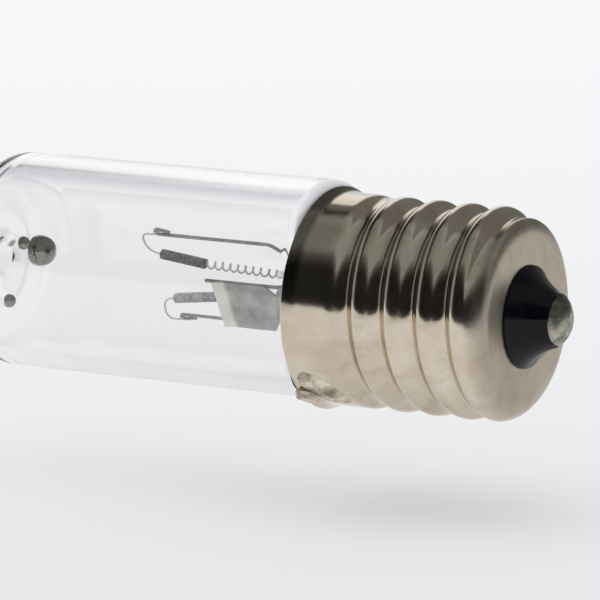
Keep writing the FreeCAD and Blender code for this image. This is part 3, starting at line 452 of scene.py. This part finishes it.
def glass_material(name, tint, thin_tint, painted_rim_light=0.0):
    """Clear glass with faint drawing ripples.

    It casts no hard shadow, and the top of its rim can carry painted light, a pale diffuse patch."""
    material, n, shader = new_material(name, **{"Transmission Weight": 1.0, "IOR": 1.47})
    mark = marks(n, cloud=90.0, streak=260.0, speck=1200.0)
    tint = n.mix(mark["Cloud"], tint, thin_tint)
    # The band is the glass's tint, with painted shade on the upper half alone
    band = n.times(lavender_tint_and_shade(n), BAND_SHARE)
    n.feed(shader.inputs["Base Color"], n.mix(band, tint, BAND_TINT_AND_SHADE_TONE))
    n.feed(shader.inputs["Roughness"], n.ramp(mark["Cloud"], [(0.3, 0.05), (0.7, 0.015)]))
    ripple = n.noise(n.place(RIPPLE_SCALE), 1.0, detail=1.0, rough=0.4)
    n.feed(shader.inputs["Normal"], n.bump(ripple, strength=0.05, distance=0.0001))
    path = n.add("ShaderNodeLightPath").outputs
    passes = n.math("MAXIMUM", path["Is Shadow Ray"], path["Is Diffuse Ray"])
    clear = n.add("ShaderNodeBsdfTransparent", {"Color": GLASS_SHADE})
    mixed = n.mix_shaders(passes, shader, clear)
    x, _, z = n.axes()
    # Painted light: a pale diffuse patch on the top of the glass by the rim
    rim = n.times(n.rise_mm(x, PAINTED_RIM_LIGHT_SPAN), n.rise_mm(z, PAINTED_RIM_LIGHT_TOP_SPAN))
    rim_light_shader = n.add("ShaderNodeBsdfDiffuse", {"Color": PAINTED_RIM_LIGHT_TONE})
    mixed = n.mix_shaders(n.times(rim, painted_rim_light), mixed, rim_light_shader)
    n.show(mixed.outputs[0])
    return material


def lavender_tint_and_shade(n):
    """1 on the outer wall's upper half where it turns from the eye: thick glass shows its colour there, and
    keeping it to the upper half is painted shade.
    """
    _, y, z = n.axes()
    facing = n.facing()
    band = n.times(n.rise(facing, BAND_BEGINS), n.rise(facing, BAND_ENDS))
    centred = n.math("SUBTRACT", z, GLASS_RISE * MM)
    radius = n.math("SQRT", n.math("ADD", n.times(y, y), n.times(centred, centred)))
    band = n.times(band, n.rise_mm(radius, BAND_RADIUS_SPAN))
    return n.times(band, n.rise_mm(z, BAND_TOP_SPAN))


def black_glass_material():
    """Black moulded glass: glossy, with flow clouds and small pits."""
    look = {"IOR": 1.36, "Specular IOR Level": 0.35}
    material, n, shader = new_material("black_moulded_glass", **look)
    mark = marks(n, cloud=400.0, streak=500.0, speck=2200.0)
    tones = [(0.3, (0.001, 0.001, 0.002, 1)), (0.8, (0.005, 0.005, 0.007, 1))]
    n.feed(shader.inputs["Base Color"], n.ramp(mark["Cloud"], tones))
    n.feed(shader.inputs["Roughness"], n.ramp(mark["Cloud"], [(0.3, 0.06), (0.7, 0.18)]))
    n.feed(shader.inputs["Normal"], n.bump(mark["Height"], strength=0.35, distance=0.00015))
    return material


# The solder's specks and cells for each of its clouds, and where painted shade darkens it upwards
SOLDER_SPECKS, SOLDER_CELLS, SOLDER_CELL_SHARE = 3, 1.6, 0.4
PAINTED_TOP_SHADE_SPAN = (-0.8, 0.6)


def solder_material(name, light, dark, scale, smooth, rough, lumps, painted_top_shade=0.0):
    """Solder that froze uneven: dull patches, brighter ridges and small cells, with painted shade that
    darkens it upwards.
    """
    material, n, shader = new_material(name, Metallic=1.0)
    mark = marks(n, scale, scale, scale * SOLDER_SPECKS)
    stretched = n.place((scale * SOLDER_CELLS,) * 3)
    cells = n.add("ShaderNodeTexVoronoi", {"Vector": stretched, "Scale": 1.0})
    tone = n.ramp(mark["Cloud"], [(0.35, dark), (0.62, light)])
    # Painted shade: the solder is darkened towards its top
    top_shade = n.times(n.rise_mm(n.axes()[2], PAINTED_TOP_SHADE_SPAN), painted_top_shade)
    n.feed(shader.inputs["Base Color"], n.mix(top_shade, tone, grey(0.0)))
    n.feed(shader.inputs["Roughness"], n.ramp(mark["Cloud"], [(0.3, rough), (0.7, smooth)]))
    height = n.mix(SOLDER_CELL_SHARE, mark["Height"], cells.outputs["Distance"])
    n.feed(shader.inputs["Normal"], n.bump(height, lumps, distance=0.0002))
    return material


# Painted light along the plate's bent edge: its span in X and its tone
BENT_EDGE_LIGHT_SPAN, BENT_EDGE_PAINTED_LIGHT = (-9.4, -9.8), (0.93, 0.93, 0.86, 1)


def plate_material():
    """The shield plate's dull sheet, with painted light along its bent edge."""
    light, dark = (0.60, 0.60, 0.565, 1), (0.42, 0.42, 0.395, 1)
    material = surface("plate_nickel", light, dark, cloud=500.0, smooth=0.45, rough=0.65)
    n = Nodes(material.node_tree)
    colour = n.find("BSDF_PRINCIPLED").inputs["Base Color"]
    tone = colour.links[0].from_socket
    # Painted light brightens the bent edge
    n.feed(colour, n.mix(n.rise_mm(n.axes()[0], BENT_EDGE_LIGHT_SPAN), tone, BENT_EDGE_PAINTED_LIGHT))
    return material


def coating(name, light, dark):
    """The emitter's rough coating on a dense winding."""
    return surface(name, light, dark, cloud=3000.0, metallic=0.0, smooth=0.7, rough=0.95, bump=0.6)


NICKEL = nickel_material()
GLASS = glass_material("clear_glass", (1.0, 0.996, 0.998, 1), (0.984, 0.978, 0.984, 1), painted_rim_light=0.85)
STEM_GLASS = glass_material("stem_glass", (0.97, 0.975, 0.98, 1), (0.93, 0.935, 0.95, 1))
BLACK = black_glass_material()
DOME_SOLDER = solder_material(
    "dome_solder", (0.52, 0.50, 0.41, 1), (0.13, 0.125, 0.095, 1),
    scale=900.0, smooth=0.25, rough=0.5, lumps=0.4, painted_top_shade=0.5,
)
SIDE_SOLDER = solder_material(
    "side_solder", (0.86, 0.78, 0.62, 1), (0.26, 0.24, 0.18, 1),
    scale=800.0, smooth=0.3, rough=0.5, lumps=0.45,
)
LEAD_METAL = surface("lead_nickel", (0.42, 0.43, 0.42, 1), (0.26, 0.27, 0.265, 1), metallic=0.5)
TUNGSTEN = surface(
    "tungsten", (0.78, 0.78, 0.78, 1), (0.58, 0.58, 0.58, 1), cloud=4000.0, metallic=0.15,
)
COATED = {
    1: coating("upper_coating", (0.24, 0.24, 0.245, 1), (0.09, 0.09, 0.095, 1)),
    -1: coating("lower_coating", (0.46, 0.47, 0.47, 1), (0.20, 0.205, 0.205, 1)),
}
PLATE = plate_material()
MERCURY = surface(
    "mercury", (0.36, 0.35, 0.32, 1), (0.24, 0.23, 0.21, 1),
    cloud=300.0, smooth=0.03, rough=0.08, bump=0.02,
)
CEMENT = surface(
    "cement", (0.42, 0.36, 0.28, 1), (0.27, 0.22, 0.17, 1),
    cloud=900.0, metallic=0.0, smooth=0.8, rough=1.0, bump=0.6,
)
COPPER = surface("copper", (0.72, 0.40, 0.26, 1), (0.48, 0.24, 0.15, 1))
TINNED = surface("tinned_copper", (0.56, 0.53, 0.46, 1), (0.34, 0.31, 0.26, 1))

# Screw shell


def shell_base(along):
    """Smooth outline at lengths along the sheet: x, radius and outward normal."""
    s = SHELL
    shoulder_x = s["end"] - s["shoulder"]
    turn_length = s["shoulder"] * math.pi / 2
    share = np.clip(1 - along / s["lip"], 0, None)
    x = np.minimum(along, shoulder_x)
    r = s["radius"] + s["flare"] * share ** 2
    slope = -2 * s["flare"] * share / s["lip"]
    size = np.hypot(1, slope)
    nx, nr = -slope / size, 1 / size
    turn = np.clip((along - shoulder_x) / s["shoulder"], 0, math.pi / 2)
    x = x + s["shoulder"] * np.sin(turn)
    r = r - s["shoulder"] * (1 - np.cos(turn))
    nx = np.where(turn > 0, np.sin(turn), nx)
    nr = np.where(turn > 0, np.cos(turn), nr)
    r = r - np.clip(along - shoulder_x - turn_length, 0, None)
    return x, r, nx, nr


def smooth_share(share):
    """An even share from 0 to 1, made to start and end gently."""
    share = np.clip(share, 0, 1)
    return share ** 2 * (3 - 2 * share)


def valley_depth(along, angle):
    """How far the thread is pressed in there: two tangent arcs, faded at both ends."""
    s = SHELL
    half = s["pitch"] / 4
    knuckle = (half ** 2 + (s["depth"] / 2) ** 2) / s["depth"]
    turned = (angle - math.pi) / (2 * math.pi)
    turns = (along - s["first"]) / s["pitch"] - turned
    nearest = np.round(turns)
    away = np.abs(turns - nearest) * s["pitch"]
    inner = s["depth"] - (knuckle - np.sqrt(np.clip(knuckle ** 2 - away ** 2, 0, None)))
    outer = knuckle - np.sqrt(np.clip(knuckle ** 2 - (2 * half - away) ** 2, 0, None))
    pressed = np.where(away < half, inner, outer)
    at = nearest + turned
    rise = smooth_share((at - s["start"]) / s["fade"])
    fall = smooth_share((s["finish"] - at) / s["run_out"])
    return pressed * rise * fall


def skin(rows, columns, inset):
    """Points of the shell's sheet, this far inside its outer face."""
    angle = np.linspace(0, 2 * math.pi, columns, endpoint=False)
    along, angle = np.meshgrid(rows, angle, indexing="ij")
    x, r, nx, nr = shell_base(along)
    sunk = valley_depth(along, angle) + inset
    r = r - nr * sunk
    return np.stack([x - nx * sunk, r * np.cos(angle), r * np.sin(angle)], axis=-1).reshape(-1, 3)


def make_shell():
    """The rolled sheet: its outer face from the lip to the end's hole, and back inside."""
    s = SHELL
    columns = SHELL_COLUMNS
    turn_length = s["shoulder"] * math.pi / 2
    whole = s["end"] - s["shoulder"] + turn_length + s["radius"] - s["shoulder"] - s["hole"]
    outer_rows = np.linspace(0, whole, SHELL_OUTER_ROWS)
    inner_rows = np.linspace(0, whole, SHELL_INNER_ROWS)[::-1]
    points = np.concatenate([skin(outer_rows, columns, 0.0), skin(inner_rows, columns, s["wall"])])
    count = len(outer_rows) + len(inner_rows)
    i, j = np.meshgrid(np.arange(count), np.arange(columns), indexing="ij")
    after, beside = (i + 1) % count, (j + 1) % columns
    corners = [i * columns + j, i * columns + beside, after * columns + beside, after * columns + j]
    faces = np.stack(corners, axis=-1).reshape(-1, 4)
    return add_piece("screw_shell", points, faces.tolist(), NICKEL)


# Glass tube


def tube_outline():
    """The blown tube's section: outside from its drawn tip to the neck's end, then back inside."""
    t = TUBE
    end, radius, corner = t["end"], t["radius"], t["corner"]
    inside = radius - t["wall"]
    shoulder_x, shoulder_r = t["shoulder_end"] - t["shoulder"], radius - t["shoulder"]
    neck_inside = t["neck"] - t["neck_wall"]
    tip_centre = end - t["tip"] + t["tip_round"]
    outline = [(end - t["tip"], 0.0)]
    outline += arc(tip_centre, 0.0, t["tip_round"], 180, 100, steps=8)[1:]
    outline += [(end - beyond, r) for beyond, r in TIP_OUTSIDE]
    outline += arc(end + corner, radius - corner, corner, 180, 90, steps=16)
    outline += line((end + corner, radius), (shoulder_x, radius), steps=24)[1:]
    outline += arc(shoulder_x, shoulder_r, t["shoulder"], 90, 0, steps=12)[1:]
    outline += [(t["neck_start"], t["neck"]), (t["neck_end"], t["neck"]), (t["neck_end"], neck_inside)]
    outline += [(t["neck_start"] - t["neck_set_back"], neck_inside)]
    outline += arc(t["bore_end"], inside - t["bore_corner"], t["bore_corner"], 0, 90, steps=10)
    outline += line((t["bore_end"], inside), (end + corner, inside), steps=24)[1:]
    outline += arc(end + corner, radius - corner, corner - t["wall"], 90, 180, steps=12)[1:]
    return outline + [(end - beyond, r) for beyond, r in TIP_INSIDE]


def towards_rim(x, y, z):
    """Moves the front of the shoulder a little nearer the cap's rim, so the view inside bends less."""
    angle = math.atan2(z - GLASS_RISE, y) - math.radians(FRONT["angle"])
    angle = (angle + math.pi) % (2 * math.pi) - math.pi
    spread = min(abs(angle) * FRONT["spread"], math.pi / 2)
    share = share_between(x, FRONT["start"], FRONT["full"])
    share *= share_between(x, TUBE["neck_start"], TUBE["neck_start"] - 1.0)
    return x + FRONT["shift"] * math.cos(spread) * share, y, z


def make_tube():
    """The clear tube, set above the cap's axis."""
    points, faces = lathe(tube_outline(), TUBE_COLUMNS, GLASS_RISE)
    return add_piece("glass_tube", [towards_rim(*p) for p in points], faces, GLASS)


# End contact


def uneven_rim(x, r, angle):
    """The small change of the insulator's radius towards its rim, on the outside alone."""
    if r <= INSULATOR["rim_inside"]:
        return 0.0
    waves = sum(height * math.sin(count * angle + begin) for height, count, begin in RIM_WAVES)
    return waves * share_between(x, INSULATOR["uneven_from"], INSULATOR["uneven_full"])


def make_insulator():
    """The moulded cone, whose small rim round the contact is a little uneven."""
    i = INSULATOR
    outline = [(i["inner_x"], i["bore"]), (i["inner_x"], i["disc"]), (i["end_inside"], i["disc"])]
    outline += [(i["end_inside"], i["foot"]), (i["foot_x"], i["foot"])]
    outline += concave((i["foot_x"], i["foot"]), (i["top_x"], i["rim"]), i["hollow"], steps=12)[1:]
    outline += [(i["rim_end"] + x, i["rim"] + r) for x, r in RIM_EDGE]
    outline += [(i["rim_end"], i["rim_inside"]), (i["seat_x"], i["rim_inside"]), (i["seat_x"], i["bore"])]
    points, faces = lathe(outline, INSULATOR_COLUMNS, wobble=uneven_rim)
    return add_piece("contact_insulator", points, faces, BLACK)


def make_dome():
    """The solder dome of the end contact, with its plug in the eyelet."""
    c = DOME
    dome_round = (c["radius"] ** 2 + c["height"] ** 2) / (2 * c["height"])
    edge = math.degrees(math.asin(c["radius"] / dome_round))
    outline = [(c["plug_x"], 0.0), (c["plug_x"], c["plug"]), (c["seat_x"], c["plug"])]
    outline += [(c["seat_x"], c["radius"]), (c["end"] - c["height"], c["radius"])]
    outline += arc(c["end"] - dome_round, 0.0, dome_round, edge, 0, steps=14)[1:-1]
    outline += [(c["end"], 0.0)]
    points, faces = lathe(outline, DOME_COLUMNS, closed=False)
    return add_piece("contact_solder", points, faces, DOME_SOLDER)


# Inner leads and centre wire


def make_lead(name, side):
    """A lead whose tip is folded back over the filament's end."""
    tip, outer, half_fold = LEAD["tip"], LEAD["offset"], FOLD / 2
    path = [Vector((tip + LEAD["fold"], 0, outer + MOUNT["wire"] + MOUNT["wire_room"]))]
    for x, z in arc(tip, outer + half_fold, half_fold, 90, 270, steps=12):
        path.append(Vector((x, 0, z)))
    corners = [(tip, 0, outer), (LEAD["bend"], 0, outer), (LEAD["inner_bend"], 0, LEAD["inner"])]
    corners.append((LEAD["end"], 0, LEAD["inner"]))
    path += bent_path(corners, LEAD["round"])[1:]
    path = [in_lamp(p.x, p.y, side * p.z) for p in path]
    points, faces = round_wire(path, MOUNT["wire"] / 2 + MOUNT["wire_room"])
    return add_piece(name, points, faces, LEAD_METAL)


def make_centre_wire():
    """The straight support wire, which carries the plate and the filaments' inner ends."""
    start = in_lamp(CENTRE["reach"], CENTRE["front"], CENTRE["lift"])
    end = in_lamp(CENTRE["end"], CENTRE["front"], CENTRE["lift"])
    points, faces = round_wire([start, end], CENTRE["wire"] / 2)
    return add_piece("centre_wire", points, faces, LEAD_METAL)


# Filaments: a fine wire wound round a path by Geometry Nodes


def winding_offset(g, given):
    """How far a point of the path moves sideways to lie on the winding."""
    length = g.add("GeometryNodeSplineParameter").outputs["Length"]
    turns = g.math("DIVIDE", length, given["Winding Pitch"])
    angle = g.times(turns, 2 * math.pi)
    normal = g.add("GeometryNodeInputNormal").outputs[0]
    tangent = g.add("GeometryNodeInputTangent").outputs[0]
    across = g.add("ShaderNodeVectorMath", {0: tangent, 1: normal}, operation="CROSS_PRODUCT").outputs[0]
    parts = []
    for vector, wave in ((normal, "COSINE"), (across, "SINE")):
        size = g.times(g.math(wave, angle), given["Winding Radius"])
        part = g.add("ShaderNodeVectorMath", {0: vector, "Scale": size}, operation="SCALE")
        parts.append(part.outputs[0])
    return g.add("ShaderNodeVectorMath", {0: parts[0], 1: parts[1]}, operation="ADD").outputs[0]


def wound_wire_tree():
    """Geometry Nodes that turn a path of edges into a wire wound tightly along it."""
    tree = bpy.data.node_groups.new("wound_wire", "GeometryNodeTree")
    tree.interface.new_socket("Geometry", in_out="INPUT", socket_type="NodeSocketGeometry")
    for name in ("Winding Radius", "Winding Pitch", "Wire Radius"):
        tree.interface.new_socket(name, in_out="INPUT", socket_type="NodeSocketFloat")
    tree.interface.new_socket("Material", in_out="INPUT", socket_type="NodeSocketMaterial")
    tree.interface.new_socket("Geometry", in_out="OUTPUT", socket_type="NodeSocketGeometry")
    g = Nodes(tree)
    given = g.add("NodeGroupInput").outputs
    curve = g.add("GeometryNodeMeshToCurve", {"Mesh": given["Geometry"]}).outputs[0]
    step = g.math("DIVIDE", given["Winding Pitch"], WINDING_STEPS)
    even = g.add("GeometryNodeResampleCurve", {"Curve": curve, "Length": step}, mode="LENGTH").outputs[0]
    moved = {"Geometry": even, "Offset": winding_offset(g, given)}
    wound = g.add("GeometryNodeSetPosition", moved).outputs[0]
    section = {"Resolution": FINE_WIRE_SIDES, "Radius": given["Wire Radius"]}
    ring = g.add("GeometryNodeCurvePrimitiveCircle", section).outputs[0]
    swept = {"Curve": wound, "Profile Curve": ring, "Fill Caps": True}
    wire = g.add("GeometryNodeCurveToMesh", swept).outputs[0]
    real = g.add("GeometryNodeRealizeInstances", {"Geometry": wire}).outputs[0]
    finished = {"Geometry": real, "Material": given["Material"]}
    done = g.add("GeometryNodeSetMaterial", finished).outputs[0]
    g.add("NodeGroupOutput", {"Geometry": done})
    return tree


WOUND_WIRE = wound_wire_tree()


def wound_wire(name, path, winding_radius, winding_pitch, wire_radius, material):
    """The mesh of a wire wound along a path in millimetres."""
    mesh = bpy.data.meshes.new(name + "_path")
    points = [tuple(p * MM) for p in path]
    mesh.from_pydata(points, [(i, i + 1) for i in range(len(points) - 1)], [])
    carrier = bpy.data.objects.new(name + "_path", mesh)
    bpy.context.collection.objects.link(carrier)
    modifier = carrier.modifiers.new("wound_wire", "NODES")
    modifier.node_group = WOUND_WIRE
    values = {
        "Winding Radius": winding_radius * MM, "Winding Pitch": winding_pitch * MM,
        "Wire Radius": wire_radius * MM, "Material": material,
    }
    for item in WOUND_WIRE.interface.items_tree:
        if item.in_out == "INPUT" and item.name in values:
            modifier[item.identifier] = values[item.name]
    seen = bpy.context.evaluated_depsgraph_get()
    result = bpy.data.meshes.new_from_object(carrier.evaluated_get(seen))
    carrier.modifiers.remove(modifier)
    bpy.data.objects.remove(carrier)
    return result


def coil_axes(side):
    """The coil's outer end, its axis, two directions across it, and the coated part's axis."""
    length = COIL["pitch"] * COIL["turns"]
    outer = Vector((COIL["outer_x"], COIL["front"], side * COIL["outer_z"]))
    inner = Vector((COIL["outer_x"] + length, COIL["front"], side * COIL["inner_z"]))
    axis = (inner - outer).normalized()
    away = (Vector((0, 0, side)) - axis * axis.z * side).normalized()
    coated = Vector((EMITTER["length"], 0, -side * EMITTER["lift"])).normalized()
    return outer, axis, away, axis.cross(away), coated


# The stub ends this share of the centre wire's radius in front of its middle
STUB_FRONT = 0.6
# The fine wire's radius as a share of the strand, and the pitch of its winding in such radii
FINE_WIRE_SHARE, FINE_WIRE_PITCH = 0.22, 2.2


def filament_path(side):
    """From the lead's pinch through the loop, along the coated part and the open coil to the wire."""
    outer, axis, away, across, coated = coil_axes(side)
    pinch_z = side * (LEAD["offset"] + FOLD / 2)
    half_cross = COIL["cross"] / 2
    loop_x = LEAD["tip"] - COIL["loop"]
    near = outer - coated * ((outer.x - loop_x) / coated.x)
    corners = [
        (LEAD["tip"], half_cross, pinch_z), (LEAD["tip"], -half_cross, pinch_z),
        (loop_x, -half_cross, pinch_z), near, outer - coated * COIL["lead_in"],
    ]
    path = bent_path(corners, COIL["loop_round"], arc_steps=12)
    steps = COIL["turns"] * COIL_STEPS
    for k in range(steps + 1):
        turn = 2 * math.pi * k / COIL_STEPS
        centre = outer + axis * (COIL["pitch"] * COIL["turns"] * k / steps)
        path.append(centre + (away * math.cos(turn) + across * math.sin(turn)) * COIL["radius"])
    wire = CENTRE["wire"] / 2
    stub_x = path[-1].x + COIL["stub"]
    path.append(Vector((stub_x, CENTRE["front"] + wire * STUB_FRONT, CENTRE["lift"] + side * wire)))
    return [in_lamp(*p) for p in path]


def make_filament(name, side):
    """A strand wound of fine wire, along the filament's whole path."""
    wire = MOUNT["strand"] * FINE_WIRE_SHARE
    winding = MOUNT["strand"] / 2 - wire
    mesh = wound_wire(name, filament_path(side), winding, wire * FINE_WIRE_PITCH, wire, TUNGSTEN)
    return add_mesh(name, mesh, TUNGSTEN, sharp=60.0)


def emitter_radius(reach, turn):
    """The coated winding's radius: rounded ends, and a swell over each turn of the strand inside."""
    e = EMITTER
    from_end = min(reach - e["gap"], e["length"] - reach)
    inward = 1 - min(max(from_end, 0.0) / e["round"], 1)
    taper = e["round"] * (math.sqrt(max(1 - inward ** 2, 0)) - 1)
    ridge = e["swell"] * (math.cos(2 * math.pi * reach / e["pitch"] - turn) - 1)
    return e["radius"] + taper + ridge


def make_emitter(name, side):
    """A coated winding, from the coil's outer end towards the loop."""
    outer, _, away, _, coated = coil_axes(side)
    away = (away - coated * away.dot(coated)).normalized()
    across = coated.cross(away)
    points = []
    for i in range(EMITTER_ROWS + 1):
        reach = EMITTER["gap"] + (EMITTER["length"] - EMITTER["gap"]) * i / EMITTER_ROWS
        for j in range(EMITTER_COLUMNS):
            turn = 2 * math.pi * j / EMITTER_COLUMNS
            spoke = away * math.cos(turn) + across * math.sin(turn)
            points.append(in_lamp(*(outer - coated * reach + spoke * emitter_radius(reach, turn))))
    faces = [face[::-1] for face in rod_faces(EMITTER_ROWS + 1, EMITTER_COLUMNS)]
    return add_piece(name, points, faces, COATED[side])


def finish_kept_nodes():
    """The nodes whose solids are right as they are get their material."""
    for name, material in (
        ("glass_stem", STEM_GLASS), ("capping_cement", CEMENT), ("contact_eyelet", NICKEL),
        ("upper_seal_wire", COPPER), ("lower_seal_wire", COPPER), ("contact_lead", COPPER),
        ("rim_lead", TINNED), ("mercury_beads", MERCURY), ("rim_solder", SIDE_SOLDER),
        ("shield_plate", PLATE),
    ):
        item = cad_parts[name]
        item.data.materials.clear()
        item.data.materials.append(material)


make_shell()
make_tube()
make_insulator()
make_dome()
make_centre_wire()
for side, name in ((1, "upper"), (-1, "lower")):
    make_lead(name + "_lead", side)
    make_filament(name + "_filament", side)
    make_emitter(name + "_emitter", side)
finish_kept_nodes()

# Studio: a pale floor, one soft light, and a room that is dark in front and white behind. In metres.

FLOOR_Z, FLOOR_SIZE, FLOOR_MIDDLE = -0.016, 6.0, 1.5
# The floor's colour runs from near to far, a painted shade that darkens it towards the camera, by its depth
# along the way that leads off from the camera
FLOOR_AWAY = (-0.49, 0.85)
FLOOR_DEPTH, FLOOR_GLOW = (-0.03, 0.29), 0.5
FLOOR_NEAR, FLOOR_FAR = (0.775, 0.777, 0.788, 1), (0.945, 0.943, 0.943, 1)
FLOOR_MARKS, FLOOR_MARK_TONE = 0.03, 0.8

SKY = (0.86, 0.87, 0.88, 1)
GREEN_GREY = (0.200, 0.216, 0.212, 1)
# The room from the front horizon (0) over the top to the back (180): degrees and tone
ROOM_TONES = [
    (0, 0.006), (42, 0.008), (50, 0.04), (57, 0.10), (63, GREEN_GREY), (95, GREEN_GREY), (101, 0.26),
    (108, 0.22), (113, 0.05), (118, 0.05), (122, 0.15), (130, 0.17), (134, 0.9), (138, 1.0), (180, 1.0),
]
# The room is brighter to the right, and gloss shows a dim patch there, by X and by degrees
RIGHT_SPAN, RIGHT_GAIN = (-0.3, 0.3), 1.35
DIM_SPAN, DIM_DEGREES, DIM_TONE = (-0.44, -0.30), (106, 110), 0.18
# Upright bands that gloss shows at the left: the span of X, how strong and how bright
LEFT_BANDS = [((-0.50, -0.54), 0.85, 0.015), ((-0.76, -0.84), 1.0, 0.28)]
BANDS_DEGREES = (150, 138)
# The darkest that the room looks through glass
THROUGH_GLASS = 0.3

LIGHT_SIZE, LIGHT_PLACE, LIGHT_WATTS = 0.5, (0.0, -0.05, 0.55), 1.2


def seen_rays(n):
    """1 for what the camera sees, straight or in metal and glass."""
    path = n.add("ShaderNodeLightPath").outputs
    seen = n.math("MAXIMUM", path["Is Camera Ray"], path["Is Transmission Ray"])
    return n.math("MAXIMUM", seen, path["Is Glossy Ray"])


def floor_material():
    """A pale floor that shows mostly its own colour to the camera, and a faint shadow."""
    material, n, shader = new_material("floor", Roughness=0.8)
    x, y, _ = n.axes()
    depth = n.math("ADD", n.times(x, FLOOR_AWAY[0]), n.times(y, FLOOR_AWAY[1]))
    # Painted shade: the floor darkens towards the camera
    tone = n.mix(n.rise(depth, FLOOR_DEPTH), FLOOR_NEAR, FLOOR_FAR)
    shade = n.noise(n.place((6.0, 6.0, 6.0)), 1.0, detail=2.0, rough=0.5)
    tone = n.mix(n.times(shade, FLOOR_MARKS), tone, grey(FLOOR_MARK_TONE))
    n.feed(shader.inputs["Base Color"], tone)
    glow = n.add("ShaderNodeEmission", {"Color": tone, "Strength": 1.0})
    mixed = n.mix_shaders(n.times(seen_rays(n), FLOOR_GLOW), shader, glow)
    n.show(mixed.outputs[0])
    return material


def make_floor():
    """One flat plane, which isn't part of the lamp."""
    bpy.ops.mesh.primitive_plane_add(size=1.0)
    plane = bpy.context.object
    plane.name = "floor"
    size = Matrix.Diagonal((FLOOR_SIZE, FLOOR_SIZE, 1, 1))
    plane.data.transform(Matrix.Translation((0, FLOOR_MIDDLE, FLOOR_Z)) @ size)
    plane.data.materials.append(floor_material())


def half_turns(degrees):
    """Degrees as shares of the half turn from the front horizon over the top to the back."""
    return [each / 180 for each in degrees]


def make_room():
    """What metal and glass show, and the even sky that lights the lamp."""
    world = bpy.data.worlds.new("studio")
    bpy.context.scene.world = world
    world.use_nodes = True
    world.node_tree.nodes.clear()
    w = Nodes(world.node_tree)
    direction = w.add("ShaderNodeTexCoord").outputs["Generated"]
    x, y, z = w.add("ShaderNodeSeparateXYZ", {0: direction}).outputs
    arctan = w.math("ARCTAN2", w.math("ABSOLUTE", z), w.times(y, -1.0))
    angle = w.math("DIVIDE", arctan, math.pi, clamp=True)
    room = w.ramp(angle, [(degrees / 180, tone) for degrees, tone in ROOM_TONES])
    room = w.mix(w.rise(x, RIGHT_SPAN), room, grey(RIGHT_GAIN), "MULTIPLY")
    path = w.add("ShaderNodeLightPath").outputs
    dim = w.times(w.rise(x, DIM_SPAN), w.rise(angle, half_turns(DIM_DEGREES)))
    room = w.mix(w.times(dim, path["Is Glossy Ray"]), room, grey(DIM_TONE))
    banded = w.times(w.rise(angle, half_turns(BANDS_DEGREES)), path["Is Glossy Ray"])
    for span, share, tone in LEFT_BANDS:
        band = w.times(w.rise(x, span), banded)
        room = w.mix(w.times(band, share), room, grey(tone))
    room = w.mix(path["Is Transmission Ray"], room, grey(THROUGH_GLASS), "LIGHTEN")
    colour = w.mix(seen_rays(w), SKY, room)
    background = w.add("ShaderNodeBackground", {"Color": colour, "Strength": 1.0})
    w.add("ShaderNodeOutputWorld", {"Surface": background.outputs[0]})


def make_light():
    """A soft light overhead that neither gloss nor glass shows."""
    data = bpy.data.lights.new("overhead", "AREA")
    data.size = LIGHT_SIZE
    data.energy = LIGHT_WATTS
    light = bpy.data.objects.new("overhead", data)
    bpy.context.collection.objects.link(light)
    light.location = LIGHT_PLACE
    light.rotation_euler = (-Vector(LIGHT_PLACE)).to_track_quat("-Z", "Y").to_euler()
    light.visible_glossy = False
    light.visible_transmission = False


# Camera: 450 mm from the lamp, fitted to the photo

RIGHT = Vector((0.8663, 0.4995, 0.0))
UP = Vector((-0.0893, 0.1548, 0.9837))
BACK = Vector((0.4916, -0.852, 0.1787))
CAMERA_REACH, CAMERA_RIGHT, CAMERA_UP = 450.0, -2.923, -0.17
PICTURE_PIXELS, FOCAL_PIXELS, SENSOR = 600, 5792.36, 36.0
CLIP_NEAR, CLIP_FAR = 0.01, 20.0


def make_camera():
    """The photo's viewing angle and framing."""
    data = bpy.data.cameras.new("camera")
    data.sensor_width = SENSOR
    data.lens = FOCAL_PIXELS / PICTURE_PIXELS * SENSOR
    data.clip_start = CLIP_NEAR
    data.clip_end = CLIP_FAR
    camera = bpy.data.objects.new("camera", data)
    bpy.context.collection.objects.link(camera)
    turn = Matrix((RIGHT, UP, BACK)).transposed().to_4x4()
    place = BACK * CAMERA_REACH + RIGHT * CAMERA_RIGHT + UP * CAMERA_UP
    camera.matrix_world = Matrix.Translation(place * MM) @ turn
    bpy.context.scene.camera = camera


make_floor()
make_room()
make_light()
make_camera()
bpy.context.scene.view_settings.view_transform = "Standard"
